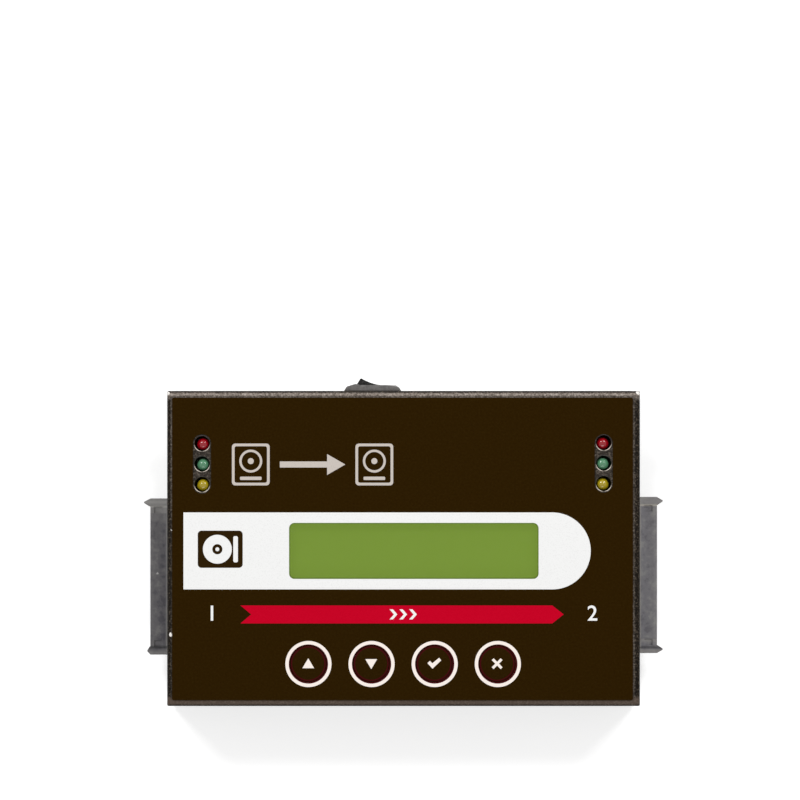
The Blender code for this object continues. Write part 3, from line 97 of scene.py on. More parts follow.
deselect()
bpy.ops.mesh.primitive_plane_add(size=FLOOR_SIZE, location=(0, 0, 0))
floor = bpy.context.object
floor.name = "studio_floor"
paper = bpy.data.materials.new("studio_paper")
paper.use_nodes = True
face = paper.node_tree.nodes["Principled BSDF"]
face.inputs["Base Color"].default_value = linear(PAPER_WHITE)
face.inputs["Roughness"].default_value = PAPER_ROUGHNESS
face.inputs["Specular IOR Level"].default_value = 0.0
face.inputs["Emission Color"].default_value = (1, 1, 1, 1)
lift = add_node(paper.node_tree, "Math", "MULTIPLY")
lift.inputs[1].default_value = FLOOR_LIFT
wire(paper.node_tree, (seen_directly(paper.node_tree), lift.inputs[0]),
     (lift.outputs[0], face.inputs["Emission Strength"]))
floor.data.materials.append(paper)

# Studio light: an even white room, two soft lamps high behind the duplicator and a weaker one before it.
# The rear pair draws two small glints on every lens, and the front one a soft glow below them.
ROOM_STRENGTH = 0.35
LIGHT_AIM = Vector((0, 0, 0.02))
SOFT_LAMPS = (("soft_lamp_left", (-0.55, 0.60, 0.80), 0.32, 0.24, 4.53),
              ("soft_lamp_right", (0.55, 0.60, 0.80), 0.32, 0.24, 4.53),
              ("soft_lamp_front", (0.0, -0.75, 0.75), 0.55, 0.22, 2.3))

world = bpy.context.scene.world or bpy.data.worlds.new("room")
bpy.context.scene.world = world
world.use_nodes = True
air = world.node_tree
air.nodes.clear()
room_out = add_node(air, "OutputWorld")
room = add_node(air, "Background", Color=(1, 1, 1, 1), Strength=ROOM_STRENGTH)
backdrop = add_node(air, "Background", Color=(1, 1, 1, 1), Strength=1.0)
pick = add_node(air, "MixShader")
wire(air, (seen_directly(air), pick.inputs["Fac"]), (room.outputs[0], pick.inputs[1]),
     (backdrop.outputs[0], pick.inputs[2]), (pick.outputs[0], room_out.inputs["Surface"]))

for name, location, width, depth, power in SOFT_LAMPS:
    deselect()
    bpy.ops.object.light_add(type="AREA", location=location)
    soft_lamp = bpy.context.object
    soft_lamp.name = name
    soft_lamp.data.shape = "RECTANGLE"
    soft_lamp.data.size = width
    soft_lamp.data.size_y = depth
    soft_lamp.data.energy = power
    soft_lamp.rotation_euler = (LIGHT_AIM - soft_lamp.location).to_track_quat("-Z", "Y").to_euler()

bpy.context.scene.view_settings.view_transform = "Standard"

# Camera: straight above, level with the rear edge of the case, as the photograph was taken.
# 237 mm of the printed film's plane fill the frame from edge to edge.
CAMERA_HEIGHT = 3.0
CAMERA_X = -0.0010
CAMERA_REAR = 0.0441
VIEW_WIDTH = 0.23696
SENSOR_WIDTH = 36.0
FAR_END = 50

film_low, film_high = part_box("overlay_panel")
middle = (film_low + film_high) / 2
deselect()
bpy.ops.object.camera_add(location=(middle.x + CAMERA_X, middle.y + CAMERA_REAR, film_high.z + CAMERA_HEIGHT))
camera = bpy.context.object
camera.name = "camera_above"
camera.data.sensor_width = SENSOR_WIDTH
camera.data.lens = SENSOR_WIDTH * CAMERA_HEIGHT / VIEW_WIDTH
camera.data.clip_end = FAR_END
bpy.context.scene.camera = camera

# Cover: 1 mm steel sheet folded down on four sides, with an open seam at each corner and four lugs
# for the screws. Its dark speckled powder coat is painted pale along the rear bend, evenly along the front
# one and a little along the others, as painted highlight on the lit tops of the bends, and has white
# spots of painted highlight at the rear corners and small white spots on the left bend.
SHEET = 0.0010
BEND = 0.0013
BEND_STEPS = 8
CORNER_SHARE = 0.35
COAT_THICKNESS = Vector((0.0001, 0.0002, 0))
BROKEN_EDGE = 0.00008
SHARP_ANGLE = 40
COAT = ((10, 8, 5), (27, 22, 17), (84, 75, 64))
HIGHLIGHT_COAT = ((96, 87, 79), (144, 133, 124), (190, 179, 170))
FRONT_LIGHT_COLOUR = (88, 74, 64)
LIP = ((22, 19, 16), (42, 37, 32), (84, 76, 68))
PAINTED_LIP_GLINT = (232, 220, 206)
LIP_GLINT_DIRECTIONS = ((0.50, 0.57, 0.65), (-0.50, 0.57, 0.65))
GLINT_AND_SPOT_WHITE = (252, 248, 242)
COAT_SCALE = 2000.0
COAT_ROUGHNESS = (0.42, 0.68)
BUMP_DEPTH = 0.0001
SPOT_SCALE = 2600.0
SPOT_RAGGED = 0.0006
# Bands of painted highlight, in millimetres from an edge: start, full, fade, end and amount of each
REAR_HIGHLIGHTS = ((0.36, 0.88, 1.25, 1.70, 1.0), (0.40, 0.80, 2.20, 3.00, 0.42))
FRONT_HIGHLIGHT = (0.30, 0.65, 2.20, 3.00, 0.26)
FRONT_LIGHT_BAND = (0.30, 0.65, 2.20, 3.00, 0.7)
RIGHT_HIGHLIGHT = (1.35, 1.85, 2.40, 2.80, 0.26)
LEFT_HIGHLIGHT = (0.85, 1.30, 1.45, 2.60, 0.10)
LEFT_REAR_HIGHLIGHT = (0.85, 1.30, 1.45, 2.60, 0.33)
# The rear part and the upper part keep the painted highlight to the rear of the left bend and to the top; the
# lamp rows are a little lighter
REAR_PART = (-1.0, 0.0, 32.0, 42.0, 1.0)
LAMP_ROW_LIGHTER = (-2.9, -2.6, 2.6, 2.9, 0.1)
UPPER_PART = (-2.0, -1.0, 0.75, 1.15, 1.0)
# White spots: in from the side and the rear, or from the left side and the middle, then down and size; at the
# rear corners they are painted highlights
CORNER_GLINTS = {"left": (0.0003, 0.0007, 0.0005, 0.00080), "right": (0.0006, 0.0006, 0.0005, 0.00092)}
LEFT_WHITE_SPOTS = ((0.0011, -0.0256, 0.0002, 0.00078), (0.0011, -0.0252, 0.0002, 0.00074),
              (0.0013, 0.0055, 0.0002, 0.00058))
WINDOW_SIZE = Vector((0.0739, 0.0166, 0))
WINDOW_PLACE = Vector((0.0031, -0.0006, 0))
WINDOW_CORNER = 0.0016
KEY_HOLE = 0.00575
LAMP_HOLE = 0.0022
LAMP_LIP = 0.00035
LAMP_HOLE_DRIFT = {"source": 0.0, "target": 0.00025}
LIP_STEPS = 5
LIP_OUT_SHARE = 1.1
LIP_UP_SHARE = 1.04
OVERRUN = 0.001
OPENING_GAP = 0.0003
SOCKET_OPENING = 0.0063
ROCKER_OPENING = Vector((0.0077, 0, 0.0051))
SEAM = Vector((0.0022, 0.00035, 0.0020))
LUG = Vector((0.0090, 0.0090, 0.0015))
LUG_LIFT = 0.0015
LUG_HOLE = 0.0016
LUG_CORNER = 0.0012
SIDES = ("source", "target")
LAMPS = ("red", "green", "yellow")
KEYS = ("up", "down", "confirm", "cancel")
CORNERS = {"front_left": (-1, -1), "front_right": (1, -1), "rear_left": (-1, 1), "rear_right": (1, 1)}


def start_box(name, low, high):
    """A cube brought to two corners, with its place in its mesh."""
    deselect()
    low, high = Vector(low), Vector(high)
    bpy.ops.mesh.primitive_cube_add(size=1, location=(low + high) / 2)
    piece = bpy.context.object
    piece.name = name
    piece.scale = high - low
    bpy.ops.object.transform_apply()
    return piece


def start_disc(name, centre, radius, low, high, steps=64):
    deselect()
    bpy.ops.mesh.primitive_cylinder_add(vertices=steps, radius=radius, depth=high - low,
                                        location=(centre.x, centre.y, (low + high) / 2))
    piece = bpy.context.object
    piece.name = name
    bpy.ops.object.transform_apply()
    return piece


def edit(piece, everything=False):
    """Opens a piece in edit mode, with nothing in it selected, or everything."""
    deselect()
    piece.select_set(True)
    bpy.context.view_layer.objects.active = piece
    bpy.ops.object.mode_set(mode="EDIT")
    bpy.ops.mesh.select_mode(type="VERT")
    bpy.ops.mesh.select_all(action="SELECT" if everything else "DESELECT")


def pick_edges(piece, wanted):
    """Selects the edges whose two ends the test accepts."""
    bpy.ops.mesh.select_mode(type="EDGE")
    bpy.ops.mesh.select_all(action="DESELECT")
    mesh = bmesh.from_edit_mesh(piece.data)
    for line in mesh.edges:
        line.select_set(bool(wanted(line.verts[0].co, line.verts[1].co)))
    bmesh.update_edit_mesh(piece.data)


def pick_faces(piece, wanted):
    """Selects the faces whose middle and normal the test accepts."""
    bpy.ops.mesh.select_mode(type="FACE")
    bpy.ops.mesh.select_all(action="DESELECT")
    mesh = bmesh.from_edit_mesh(piece.data)
    for side in mesh.faces:
        side.select_set(bool(wanted(side.calc_center_median(), side.normal)))
    bmesh.update_edit_mesh(piece.data)


def close_edit():
    bpy.ops.object.mode_set(mode="OBJECT")


def round_uprights(piece, radius, segments=8, wanted=None):
    """Rounds the upright edges that the test accepts, or all of them."""
    edit(piece)
    pick_edges(piece, lambda a, b: abs(a.z - b.z) > abs(a.x - b.x) + abs(a.y - b.y)
               and (wanted is None or wanted(a)))
    bpy.ops.mesh.bevel(offset=radius, segments=segments, affect="EDGES")
    close_edit()
    return piece


def apply_all(piece):
    deselect()
    piece.select_set(True)
    bpy.context.view_layer.objects.active = piece
    for modifier in list(piece.modifiers):
        bpy.ops.object.modifier_apply(modifier=modifier.name)


def merge_shapes(piece, tool, operation="DIFFERENCE"):
    """Cuts a tool out of a piece, or joins it on, and throws the tool away."""
    boolean = piece.modifiers.new("tool", "BOOLEAN")
    boolean.operation = operation
    boolean.solver = "EXACT"
    boolean.material_mode = "TRANSFER"
    boolean.object = tool
    apply_all(piece)
    bpy.data.objects.remove(tool)


def soften(piece, width=0.0, segments=2, angle=35):
    """Breaks the sharp edges, and shades round faces smooth."""
    if width:
        rounding = piece.modifiers.new("broken_edges", "BEVEL")
        rounding.width = width
        rounding.segments = segments
        rounding.limit_method = "ANGLE"
        rounding.angle_limit = math.radians(angle)
        rounding.harden_normals = False
    apply_all(piece)
    bpy.ops.object.shade_smooth_by_angle(angle=math.radians(angle))


def new_group(name, inputs, outputs):
    """An empty shader group: each input and output is a name and a socket type."""
    group = bpy.data.node_groups.new(name, "ShaderNodeTree")
    for way, ends in (("INPUT", inputs), ("OUTPUT", outputs)):
        for label, kind in ends:
            group.interface.new_socket(label, in_out=way, socket_type="NodeSocket" + kind)
    return group, group.nodes.new("NodeGroupInput").outputs, group.nodes.new("NodeGroupOutput").inputs


def colour_mix(tree):
    mix = add_node(tree, "Mix")
    mix.data_type = "RGBA"
    return mix


# Speckle: light and dark flecks over a middle colour, with a roughness and a height that follow them
speckle, given, result = new_group(
    "speckle", [("Place", "Vector"), ("Scale", "Float"), ("Dark", "Color"), ("Mid", "Color"),
                ("Light", "Color"), ("Smooth", "Float"), ("Rough", "Float")],
    [("Colour", "Color"), ("Roughness", "Float"), ("Height", "Float")])
fleck = add_node(speckle, "TexNoise", Detail=3.0, Roughness=0.6)
to_light = add_node(speckle, "MapRange", From_Min=0.53, From_Max=0.66)
to_dark = add_node(speckle, "MapRange", From_Min=0.48, From_Max=0.37)
to_rough = add_node(speckle, "MapRange", From_Min=0.35, From_Max=0.65)
lighten, darken = colour_mix(speckle), colour_mix(speckle)
wire(speckle, (given["Place"], fleck.inputs["Vector"]), (given["Scale"], fleck.inputs["Scale"]),
     (fleck.outputs["Fac"], to_light.inputs["Value"]), (fleck.outputs["Fac"], to_dark.inputs["Value"]),
     (fleck.outputs["Fac"], to_rough.inputs["Value"]), (given["Smooth"], to_rough.inputs["To Min"]),
     (given["Rough"], to_rough.inputs["To Max"]), (to_light.outputs["Result"], lighten.inputs["Factor"]),
     (given["Mid"], lighten.inputs["A"]), (given["Light"], lighten.inputs["B"]),
     (to_dark.outputs["Result"], darken.inputs["Factor"]), (lighten.outputs["Result"], darken.inputs["A"]),
     (given["Dark"], darken.inputs["B"]), (darken.outputs["Result"], result["Colour"]),
     (to_rough.outputs["Result"], result["Roughness"]), (fleck.outputs["Fac"], result["Height"]))

# Band: the strip between two distances from an edge, faded at both sides, and how strong it is
BAND_VALUES = ("Edge", "Inward", "Start", "Full", "Fade", "End", "Amount")
band_group, given, result = new_group("edge_band", [(label, "Float") for label in ("Along", *BAND_VALUES)],
                               [("Mask", "Float")])
apart = add_node(band_group, "Math", "SUBTRACT")
depth = add_node(band_group, "Math", "MULTIPLY")
rise = add_node(band_group, "MapRange")
fall = add_node(band_group, "MapRange")
both = add_node(band_group, "Math", "MINIMUM")
strength = add_node(band_group, "Math", "MULTIPLY")
wire(band_group, (given["Edge"], apart.inputs[0]), (given["Along"], apart.inputs[1]),
     (apart.outputs[0], depth.inputs[0]), (given["Inward"], depth.inputs[1]),
     (depth.outputs[0], rise.inputs["Value"]), (given["Start"], rise.inputs["From Min"]),
     (given["Full"], rise.inputs["From Max"]), (depth.outputs[0], fall.inputs["Value"]),
     (given["End"], fall.inputs["From Min"]), (given["Fade"], fall.inputs["From Max"]),
     (rise.outputs["Result"], both.inputs[0]), (fall.outputs["Result"], both.inputs[1]),
     (both.outputs[0], strength.inputs[0]), (given["Amount"], strength.inputs[1]),
     (strength.outputs[0], result["Mask"]))

# Spot: a ragged spot round a given centre, where a painted highlight or a mark goes
ragged_spot, given, result = new_group("ragged_spot", [("Place", "Vector"), ("Centre", "Vector"), ("Size", "Float")],
                                [("Mask", "Float")])
apart = add_node(ragged_spot, "VectorMath", "DISTANCE")
ragged = add_node(ragged_spot, "TexNoise", Scale=SPOT_SCALE)
wobble = add_node(ragged_spot, "Math", "MULTIPLY_ADD")
wobble.inputs[1].default_value = SPOT_RAGGED
within = add_node(ragged_spot, "Math", "LESS_THAN")
wire(ragged_spot, (given["Place"], apart.inputs[0]), (given["Centre"], apart.inputs[1]),
     (given["Place"], ragged.inputs["Vector"]), (ragged.outputs["Fac"], wobble.inputs[0]),
     (apart.outputs["Value"], wobble.inputs[2]), (wobble.outputs[0], within.inputs[0]),
     (given["Size"], within.inputs[1]), (within.outputs[0], result["Mask"]))


def object_place(material):
    return material.node_tree.nodes["Texture Coordinate"].outputs["Object"]


def add_group(material, group, place, start, **values):
    """Places a shader group in a material, with its place wired and its other values set."""
    node = add_node(material.node_tree, "Group")
    node.node_tree = group
    wire(material.node_tree, (place, node.inputs[start]))
    for label, value in values.items():
        node.inputs[label].default_value = value
    return node


def flecks_in(material, scale, colours, roughness):
    """Places the speckle group in a material, with its dark, middle and light colours."""
    dark, mid, light = [linear(colour) for colour in colours]
    return add_group(material, speckle, object_place(material), "Place", Scale=scale, Dark=dark, Mid=mid,
                     Light=light, Smooth=roughness[0], Rough=roughness[1])


def surface(name, colours, roughness, scale, relief, metallic=0.0, **constants):
    """A Principled material whose colour, roughness and relief vary, and whose other values are even."""
    material = bpy.data.materials.new(name)
    material.use_nodes = True
    tree = material.node_tree
    shader = tree.nodes["Principled BSDF"]
    shader.inputs["Metallic"].default_value = metallic
    for socket, value in constants.items():
        shader.inputs[socket.replace("_", " ")].default_value = value
    add_node(tree, "TexCoord")
    flecks = flecks_in(material, scale, colours, roughness)
    bump = add_node(tree, "Bump", Strength=relief, Distance=BUMP_DEPTH)
    wire(tree, (flecks.outputs["Colour"], shader.inputs["Base Color"]),
         (flecks.outputs["Roughness"], shader.inputs["Roughness"]),
         (flecks.outputs["Height"], bump.inputs["Height"]), (bump.outputs["Normal"], shader.inputs["Normal"]))
    return material


def around(colour, share):
    """A colour as dark, middle and light, a share of the way to black and to white."""
    return (tuple(value * (1 - share) for value in colour), colour,
            tuple(value + (255 - value) * share / 2 for value in colour))


def joined(material, one, other, operation):
    node = add_node(material.node_tree, "Math", operation)
    wire(material.node_tree, (one, node.inputs[0]), (other, node.inputs[1]))
    return node.outputs[0]


def strongest(material, masks):
    """Joins masks, each point taking the strongest."""
    while len(masks) > 1:
        masks.append(joined(material, masks.pop(), masks.pop(), "MAXIMUM"))
    return masks[0]


def shared(material, one, other):
    """Joins two masks, each point taking their product."""
    return joined(material, one, other, "MULTIPLY")


def bands_in(material, bands):
    """Bands along edges, in millimetres: axis, edge, way inward, start, full, fade, end and amount of each.
    """
    axes = add_node(material.node_tree, "SeparateXYZ")
    wire(material.node_tree, (object_place(material), axes.inputs[0]))
    masks = []
    for along, edge, inward, *reach, amount in bands:
        values = (edge, inward, *[distance / 1000 for distance in reach], amount)
        strip = add_group(material, band_group, axes.outputs[along], "Along", **dict(zip(BAND_VALUES, values)))
        masks.append(strip.outputs["Mask"])
    return strongest(material, masks)


def spots_in(material, spots):
    """Ragged spots, each with its centre and its size."""
    masks = []
    for centre, size in spots:
        spot = add_group(material, ragged_spot, object_place(material), "Place", Centre=centre, Size=size)
        masks.append(spot.outputs["Mask"])
    return strongest(material, masks)


def overlay(material, mask, over):
    """Lays another colour, or the colour output of another group, over a material's where a mask says."""
    tree = material.node_tree
    base = tree.nodes["Principled BSDF"].inputs["Base Color"]
    mix = colour_mix(tree)
    wire(tree, (mask, mix.inputs["Factor"]), (base.links[0].from_socket, mix.inputs["A"]))
    if isinstance(over, bpy.types.NodeSocket):
        wire(tree, (over, mix.inputs["B"]))
    else:
        mix.inputs["B"].default_value = linear(over)
    wire(tree, (mix.outputs["Result"], base))


def dress(piece, material, body, slot, *nodes):
    """Gives a piece its finish, the body it moves with, and the nodes it stands for."""
    if material:
        piece.data.materials.clear()
        piece.data.materials.append(material)
    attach(piece, body)
    if nodes:
        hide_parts(*nodes)


def faced(material, directions, start, end):
    """Where a surface looks along one of the directions."""
    masks = []
    for direction in directions:
        along = add_node(material.node_tree, "VectorMath", "DOT_PRODUCT")
        along.inputs[1].default_value = direction
        level = add_node(material.node_tree, "MapRange", From_Min=start, From_Max=end)
        wire(material.node_tree, (along.outputs["Value"], level.inputs["Value"]),
             (material.node_tree.nodes["Texture Coordinate"].outputs["Normal"], along.inputs[0]))
        masks.append(level.outputs["Result"])
    return strongest(material, masks)


def centre_of(node):
    low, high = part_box(node)
    return (low + high) / 2


cover_low, cover_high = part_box("top_cover")
cover_high = cover_high + COAT_THICKNESS
rear_edge, front_edge = ("Y", cover_high.y, 1), ("Y", cover_low.y, -1)
left_edge, right_edge = ("X", cover_low.x, -1), ("X", cover_high.x, 1)
cover_coat = surface("cover_coat", COAT, COAT_ROUGHNESS, COAT_SCALE, 0.5, Specular_IOR_Level=0.06)
# Painted highlight: the tops of the bends are painted pale, most along the rear, where the lamps light them
highlight_flecks = flecks_in(cover_coat, COAT_SCALE, HIGHLIGHT_COAT, (0.4, 0.6))
lamp_rows = [("X", centre_of(side + "_lamp_green").x, 1, *LAMP_ROW_LIGHTER) for side in SIDES]
rim_highlights_and_lamp_rows = bands_in(cover_coat, [(*rear_edge, *reach) for reach in REAR_HIGHLIGHTS] + lamp_rows + [
    (*front_edge, *FRONT_HIGHLIGHT), (*right_edge, *RIGHT_HIGHLIGHT), (*left_edge, *LEFT_HIGHLIGHT)])
left_rear_highlight = shared(cover_coat, bands_in(cover_coat, [(*left_edge, *LEFT_REAR_HIGHLIGHT)]),
                   bands_in(cover_coat, [(*rear_edge, *REAR_PART)]))
upper = bands_in(cover_coat, [("Z", cover_high.z, 1, *UPPER_PART)])
overlay(cover_coat, shared(cover_coat, strongest(cover_coat, [rim_highlights_and_lamp_rows, left_rear_highlight]), upper),
        highlight_flecks.outputs["Colour"])
# Painted light: the top of the front bend is painted an even lighter brown
smooth = bands_in(cover_coat, [(*front_edge, *FRONT_LIGHT_BAND)])
overlay(cover_coat, shared(cover_coat, smooth, upper), FRONT_LIGHT_COLOUR)
# White spots: painted highlights at the two rear corners, and small white spots on the left bend
glints_and_spots = [((cover_low.x + aside, middle.y + back, cover_high.z - down), size)
           for aside, back, down, size in LEFT_WHITE_SPOTS]
for side, (aside, back, down, size) in CORNER_GLINTS.items():
    across = cover_low.x + aside if side == "left" else cover_high.x - aside
    glints_and_spots.append(((across, cover_high.y - back, cover_high.z - down), size))
overlay(cover_coat, spots_in(cover_coat, glints_and_spots), GLINT_AND_SPOT_WHITE)
lip_coat = surface("lip_coat", LIP, (0.24, 0.36), COAT_SCALE, 0.2, Specular_IOR_Level=0.3)
# Painted highlight: the lips are painted pale where they face the lamps, as glints on the lower side of each
# hole
overlay(lip_coat, faced(lip_coat, LIP_GLINT_DIRECTIONS, 0.84, 0.97), PAINTED_LIP_GLINT)

cover = start_box("cover_sheet", cover_low, cover_high)
cover.data.materials.append(cover_coat)
edit(cover)
pick_edges(cover, lambda a, b: min(a.z, b.z) > cover_high.z - SHEET)
bpy.ops.transform.edge_bevelweight(value=1.0)
pick_edges(cover, lambda a, b: abs(a.z - b.z) > SHEET)
bpy.ops.transform.edge_bevelweight(value=CORNER_SHARE)
close_edit()
bends = cover.modifiers.new("bends", "BEVEL")
bends.width = BEND
bends.segments = BEND_STEPS
bends.limit_method = "WEIGHT"
apply_all(cover)
inside = start_box("inside", (cover_low.x + SHEET, cover_low.y + SHEET, cover_low.z - OVERRUN),
                   (cover_high.x - SHEET, cover_high.y - SHEET, cover_high.z - SHEET))
edit(inside)
pick_edges(inside, lambda a, b: max(a.z, b.z) > cover_high.z - 2 * SHEET)
bpy.ops.mesh.bevel(offset=BEND - SHEET, segments=3, affect="EDGES")
close_edit()
merge_shapes(cover, inside)

top_cut = (cover_high.z - SHEET - OVERRUN, cover_high.z + OVERRUN)


def window_tool(low, high):
    """A rounded block the size of the display's opening."""
    half = WINDOW_SIZE / 2
    at = Vector((middle.x, middle.y, 0)) + WINDOW_PLACE
    block = start_box("window_tool", (at.x - half.x, at.y - half.y, low),
                      (at.x + half.x, at.y + half.y, high))
    return round_uprights(block, WINDOW_CORNER)


def cut_opening(low, high):
    merge_shapes(cover, start_box("opening", low, high))


merge_shapes(cover, window_tool(*top_cut))
for key in KEYS:
    merge_shapes(cover, start_disc("hole", centre_of("key_" + key), KEY_HOLE, *top_cut))
for side, lamp in [(side, lamp) for side in SIDES for lamp in LAMPS]:
    at = centre_of(f"{side}_lamp_{lamp}")
    at.y += LAMP_HOLE_DRIFT[side]
    punch = start_disc("punch", at, LAMP_HOLE, top_cut[0], cover_high.z - LAMP_LIP, 48)
    edit(punch)
    pick_faces(punch, lambda spot, facing: facing.z > 0.9)
    wide, raised = LAMP_HOLE, 0
    turns = [math.pi / 2 * i / (LIP_STEPS + 1) for i in range(1, LIP_STEPS + 1)]
    lip_profile = [(LAMP_LIP * (1 - math.cos(turn)), LAMP_LIP * math.sin(turn)) for turn in turns]
    brim = LAMP_LIP * LIP_OUT_SHARE
    for out, up in lip_profile + [(brim, LAMP_LIP * LIP_UP_SHARE), (brim, LAMP_LIP + OVERRUN)]:
        bpy.ops.mesh.extrude_region_move(TRANSFORM_OT_translate={"value": (0, 0, up - raised)})
        spread = (LAMP_HOLE + out) / wide
        bpy.ops.transform.resize(value=(spread, spread, 1), center_override=(at.x, at.y, at.z))
        wide, raised = LAMP_HOLE + out, up
    close_edit()
    punch.data.materials.append(lip_coat)
    merge_shapes(cover, punch)
for node, wall in (("source_socket", cover_low.x), ("target_socket", cover_high.x)):
    low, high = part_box(node)
    cut_opening((wall - 2 * SHEET, low.y - OPENING_GAP, high.z - SOCKET_OPENING),
                (wall + 2 * SHEET, high.y + OPENING_GAP, high.z + OPENING_GAP))
low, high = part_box("power_inlet")
cut_opening((low.x - OPENING_GAP, cover_high.y - 2 * SHEET, low.z - OPENING_GAP),
            (high.x + OPENING_GAP, cover_high.y + OVERRUN, high.z + OPENING_GAP))
at = centre_of("rocker_bezel")
cut_opening((at.x - ROCKER_OPENING.x, cover_high.y - 2 * SHEET, at.z - ROCKER_OPENING.z),
            (at.x + ROCKER_OPENING.x, cover_high.y + OVERRUN, at.z + ROCKER_OPENING.z))
halfway, half_depth = (cover_low.y + cover_high.y) / 2, (cover_high.y - cover_low.y) / 2
for i, j in CORNERS.values():
    seam = start_box("seam", (-SEAM.x, -SEAM.y / 2, cover_low.z - OVERRUN),
                     (OVERRUN, SEAM.y / 2, cover_high.z - SEAM.z))
    seam.rotation_euler.z = math.atan2(j, i)
    seam.location = (cover_high.x * i, halfway + half_depth * j, 0)
    bpy.ops.object.transform_apply()
    merge_shapes(cover, seam)
soften(cover, BROKEN_EDGE, 1, SHARP_ANGLE)
lug_under = cover_low.z + LUG_LIFT
for corner, (i, j) in CORNERS.items():
    at = centre_of("cover_screw_" + corner)
    wall = (cover_high.y if j > 0 else cover_low.y) - j * SHEET / 2
    near, far = sorted((wall, wall - j * LUG.y))
    lug = start_box("screw_lug_" + corner, (at.x - LUG.x / 2, near, lug_under),
                    (at.x + LUG.x / 2, far, lug_under + LUG.z))
    round_uprights(lug, LUG_CORNER, 4, lambda end: abs(end.y - wall) > SHEET)
    merge_shapes(lug, start_disc("hole", at, LUG_HOLE, lug_under - OVERRUN, lug_under + LUG.z + OVERRUN, 24))
    soften(lug, BROKEN_EDGE, 1, SHARP_ANGLE)
    dress(lug, cover_coat, "case", "case_metal")
dress(cover, None, "case", "case_metal", "top_cover")

# Base plate, feet and screws: the plate is the same coated steel, pressed up into four bosses.
# The rubber feet are stuck on, and plated pan-head screws hold the plate to the cover's lugs.
FOOT_ROUND = 0.0008
FOOT_RIM = 0.0012
FOOT_HOLLOW = 0.0002
FINE_EDGE = 0.00006
SAME_POINT = 0.000001
FLAT_ANGLE = 1
base_coat = surface("base_coat", COAT, COAT_ROUGHNESS, COAT_SCALE, 0.5, Specular_IOR_Level=0.06)
rubber = surface("foot_rubber", around((34, 34, 33), 0.35), (0.75, 0.95), 1500.0, 0.4, Specular_IOR_Level=0.3)
plated = surface("plated_steel", around((168, 166, 160), 0.12), (0.24, 0.42), 3200.0, 0.08, 1.0)


def copy_of(node, name):
    """A closed copy of a node's mesh, as a piece of its own to finish."""
    deselect()
    piece = bpy.data.objects.new(name, frame["nodes"][node].data.copy())
    bpy.context.scene.collection.objects.link(piece)
    piece.data.materials.clear()
    edit(piece, everything=True)
    bpy.ops.mesh.remove_doubles(threshold=SAME_POINT)
    bpy.ops.mesh.dissolve_limited(angle_limit=math.radians(FLAT_ANGLE))
    close_edit()
    return piece


def finish_copy(node, name, width, steps, material, slot, body="case"):
    """A node's copy with its edges broken, dressed to stand for that node."""
    piece = copy_of(node, name)
    soften(piece, width, steps)
    dress(piece, material, body, slot, node)
    return piece


finish_copy("base_plate", "base_sheet", BROKEN_EDGE, 1, base_coat, "case_metal")
for corner in CORNERS:
    low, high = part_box("foot_" + corner)
    at = (low + high) / 2
    foot = start_disc("rubber_foot_" + corner, at, (high.x - low.x) / 2, low.z, high.z, 48)
    edit(foot)
    pick_edges(foot, lambda a, b: max(a.z, b.z) < at.z)
    bpy.ops.mesh.bevel(offset=FOOT_ROUND, segments=4, affect="EDGES")
    pick_faces(foot, lambda spot, facing: facing.z < -0.99)
    bpy.ops.mesh.inset(thickness=FOOT_RIM)
    bpy.ops.transform.translate(value=(0, 0, FOOT_HOLLOW))
    close_edit()
    soften(foot)
    dress(foot, rubber, "case", "foot_rubber", "foot_" + corner)
    finish_copy("cover_screw_" + corner, "pan_screw_" + corner, FINE_EDGE, 1, plated, "plated_steel")

# Film: a dark brown polyester print stuck to the cover, with a fine satin texture.
# It is cut out for the display and the two rows of lamps, and slit round the four keys.
FILM_BROWNS = ((38, 22, 0), (41, 25, 0), (45, 29, 3))
FILM_OFF_CENTRE = (-0.0003, -0.0002)
FILM_SETTLE = 0.0001
SLOT_HALF = Vector((0.00268, 0.0088, 0))
SLOT_SHORT = {"source": 0.0, "target": 0.0003}
SLOT_ROUND = 0.995
KEY_SLIT = 0.00542
KEY_STEPS = 96
FILM_CORNER = 0.0005
HAIR_EDGE = 0.00003
film_satin = surface("film_satin", FILM_BROWNS, (0.36, 0.5), 1800.0, 0.05, Specular_IOR_Level=0.02)
film_top = film_high.z - FILM_SETTLE
film = start_box("printed_film", (film_low.x + FILM_OFF_CENTRE[0], film_low.y, cover_high.z),
                 (film_high.x + FILM_OFF_CENTRE[1], film_high.y, film_top))
round_uprights(film, FILM_CORNER)
film_cut = (film_low.z - OVERRUN, film_high.z + OVERRUN)
merge_shapes(film, window_tool(*film_cut))
for key in KEYS:
    merge_shapes(film, start_disc("hole", centre_of("key_" + key), KEY_SLIT, *film_cut, steps=KEY_STEPS))
for side in SIDES:
    at = centre_of(side + "_lamp_green")
    slot = start_box("slot", (at.x - SLOT_HALF.x, at.y - SLOT_HALF.y + SLOT_SHORT[side], film_cut[0]),
                     (at.x + SLOT_HALF.x, at.y + SLOT_HALF.y, film_cut[1]))
    merge_shapes(film, round_uprights(slot, SLOT_HALF.x * SLOT_ROUND, 16))
soften(film, HAIR_EDGE, 1)
dress(film, film_satin, "case", "film", "overlay_panel")

# Prints on the film: opaque inks laid 0.03 mm thick. A white band runs round the display, a red
# arrow points from the source side to the target side, and plain pictures and the numbers 1 and 2
# mark the drives. Outlines and places are in millimetres from the case's middle.
INK_SINK = 0.00002
INK_RISE = 0.00003
SAME_INK_POINT = 0.0000005
FIGURE_SHARE = 1.45
FIGURE_WEIGHT = 0.00006


def ink(name, colour):
    return surface(name, around(colour, 0.03), (0.42, 0.58), 2600.0, 0.04, Specular_IOR_Level=0.03)


white_ink = ink("white_ink", (247, 247, 246))
silver_ink = ink("silver_ink", (205, 196, 188))
red_ink = ink("red_ink", (200, 0, 36))
brown_ink = ink("brown_ink", (42, 26, 2))


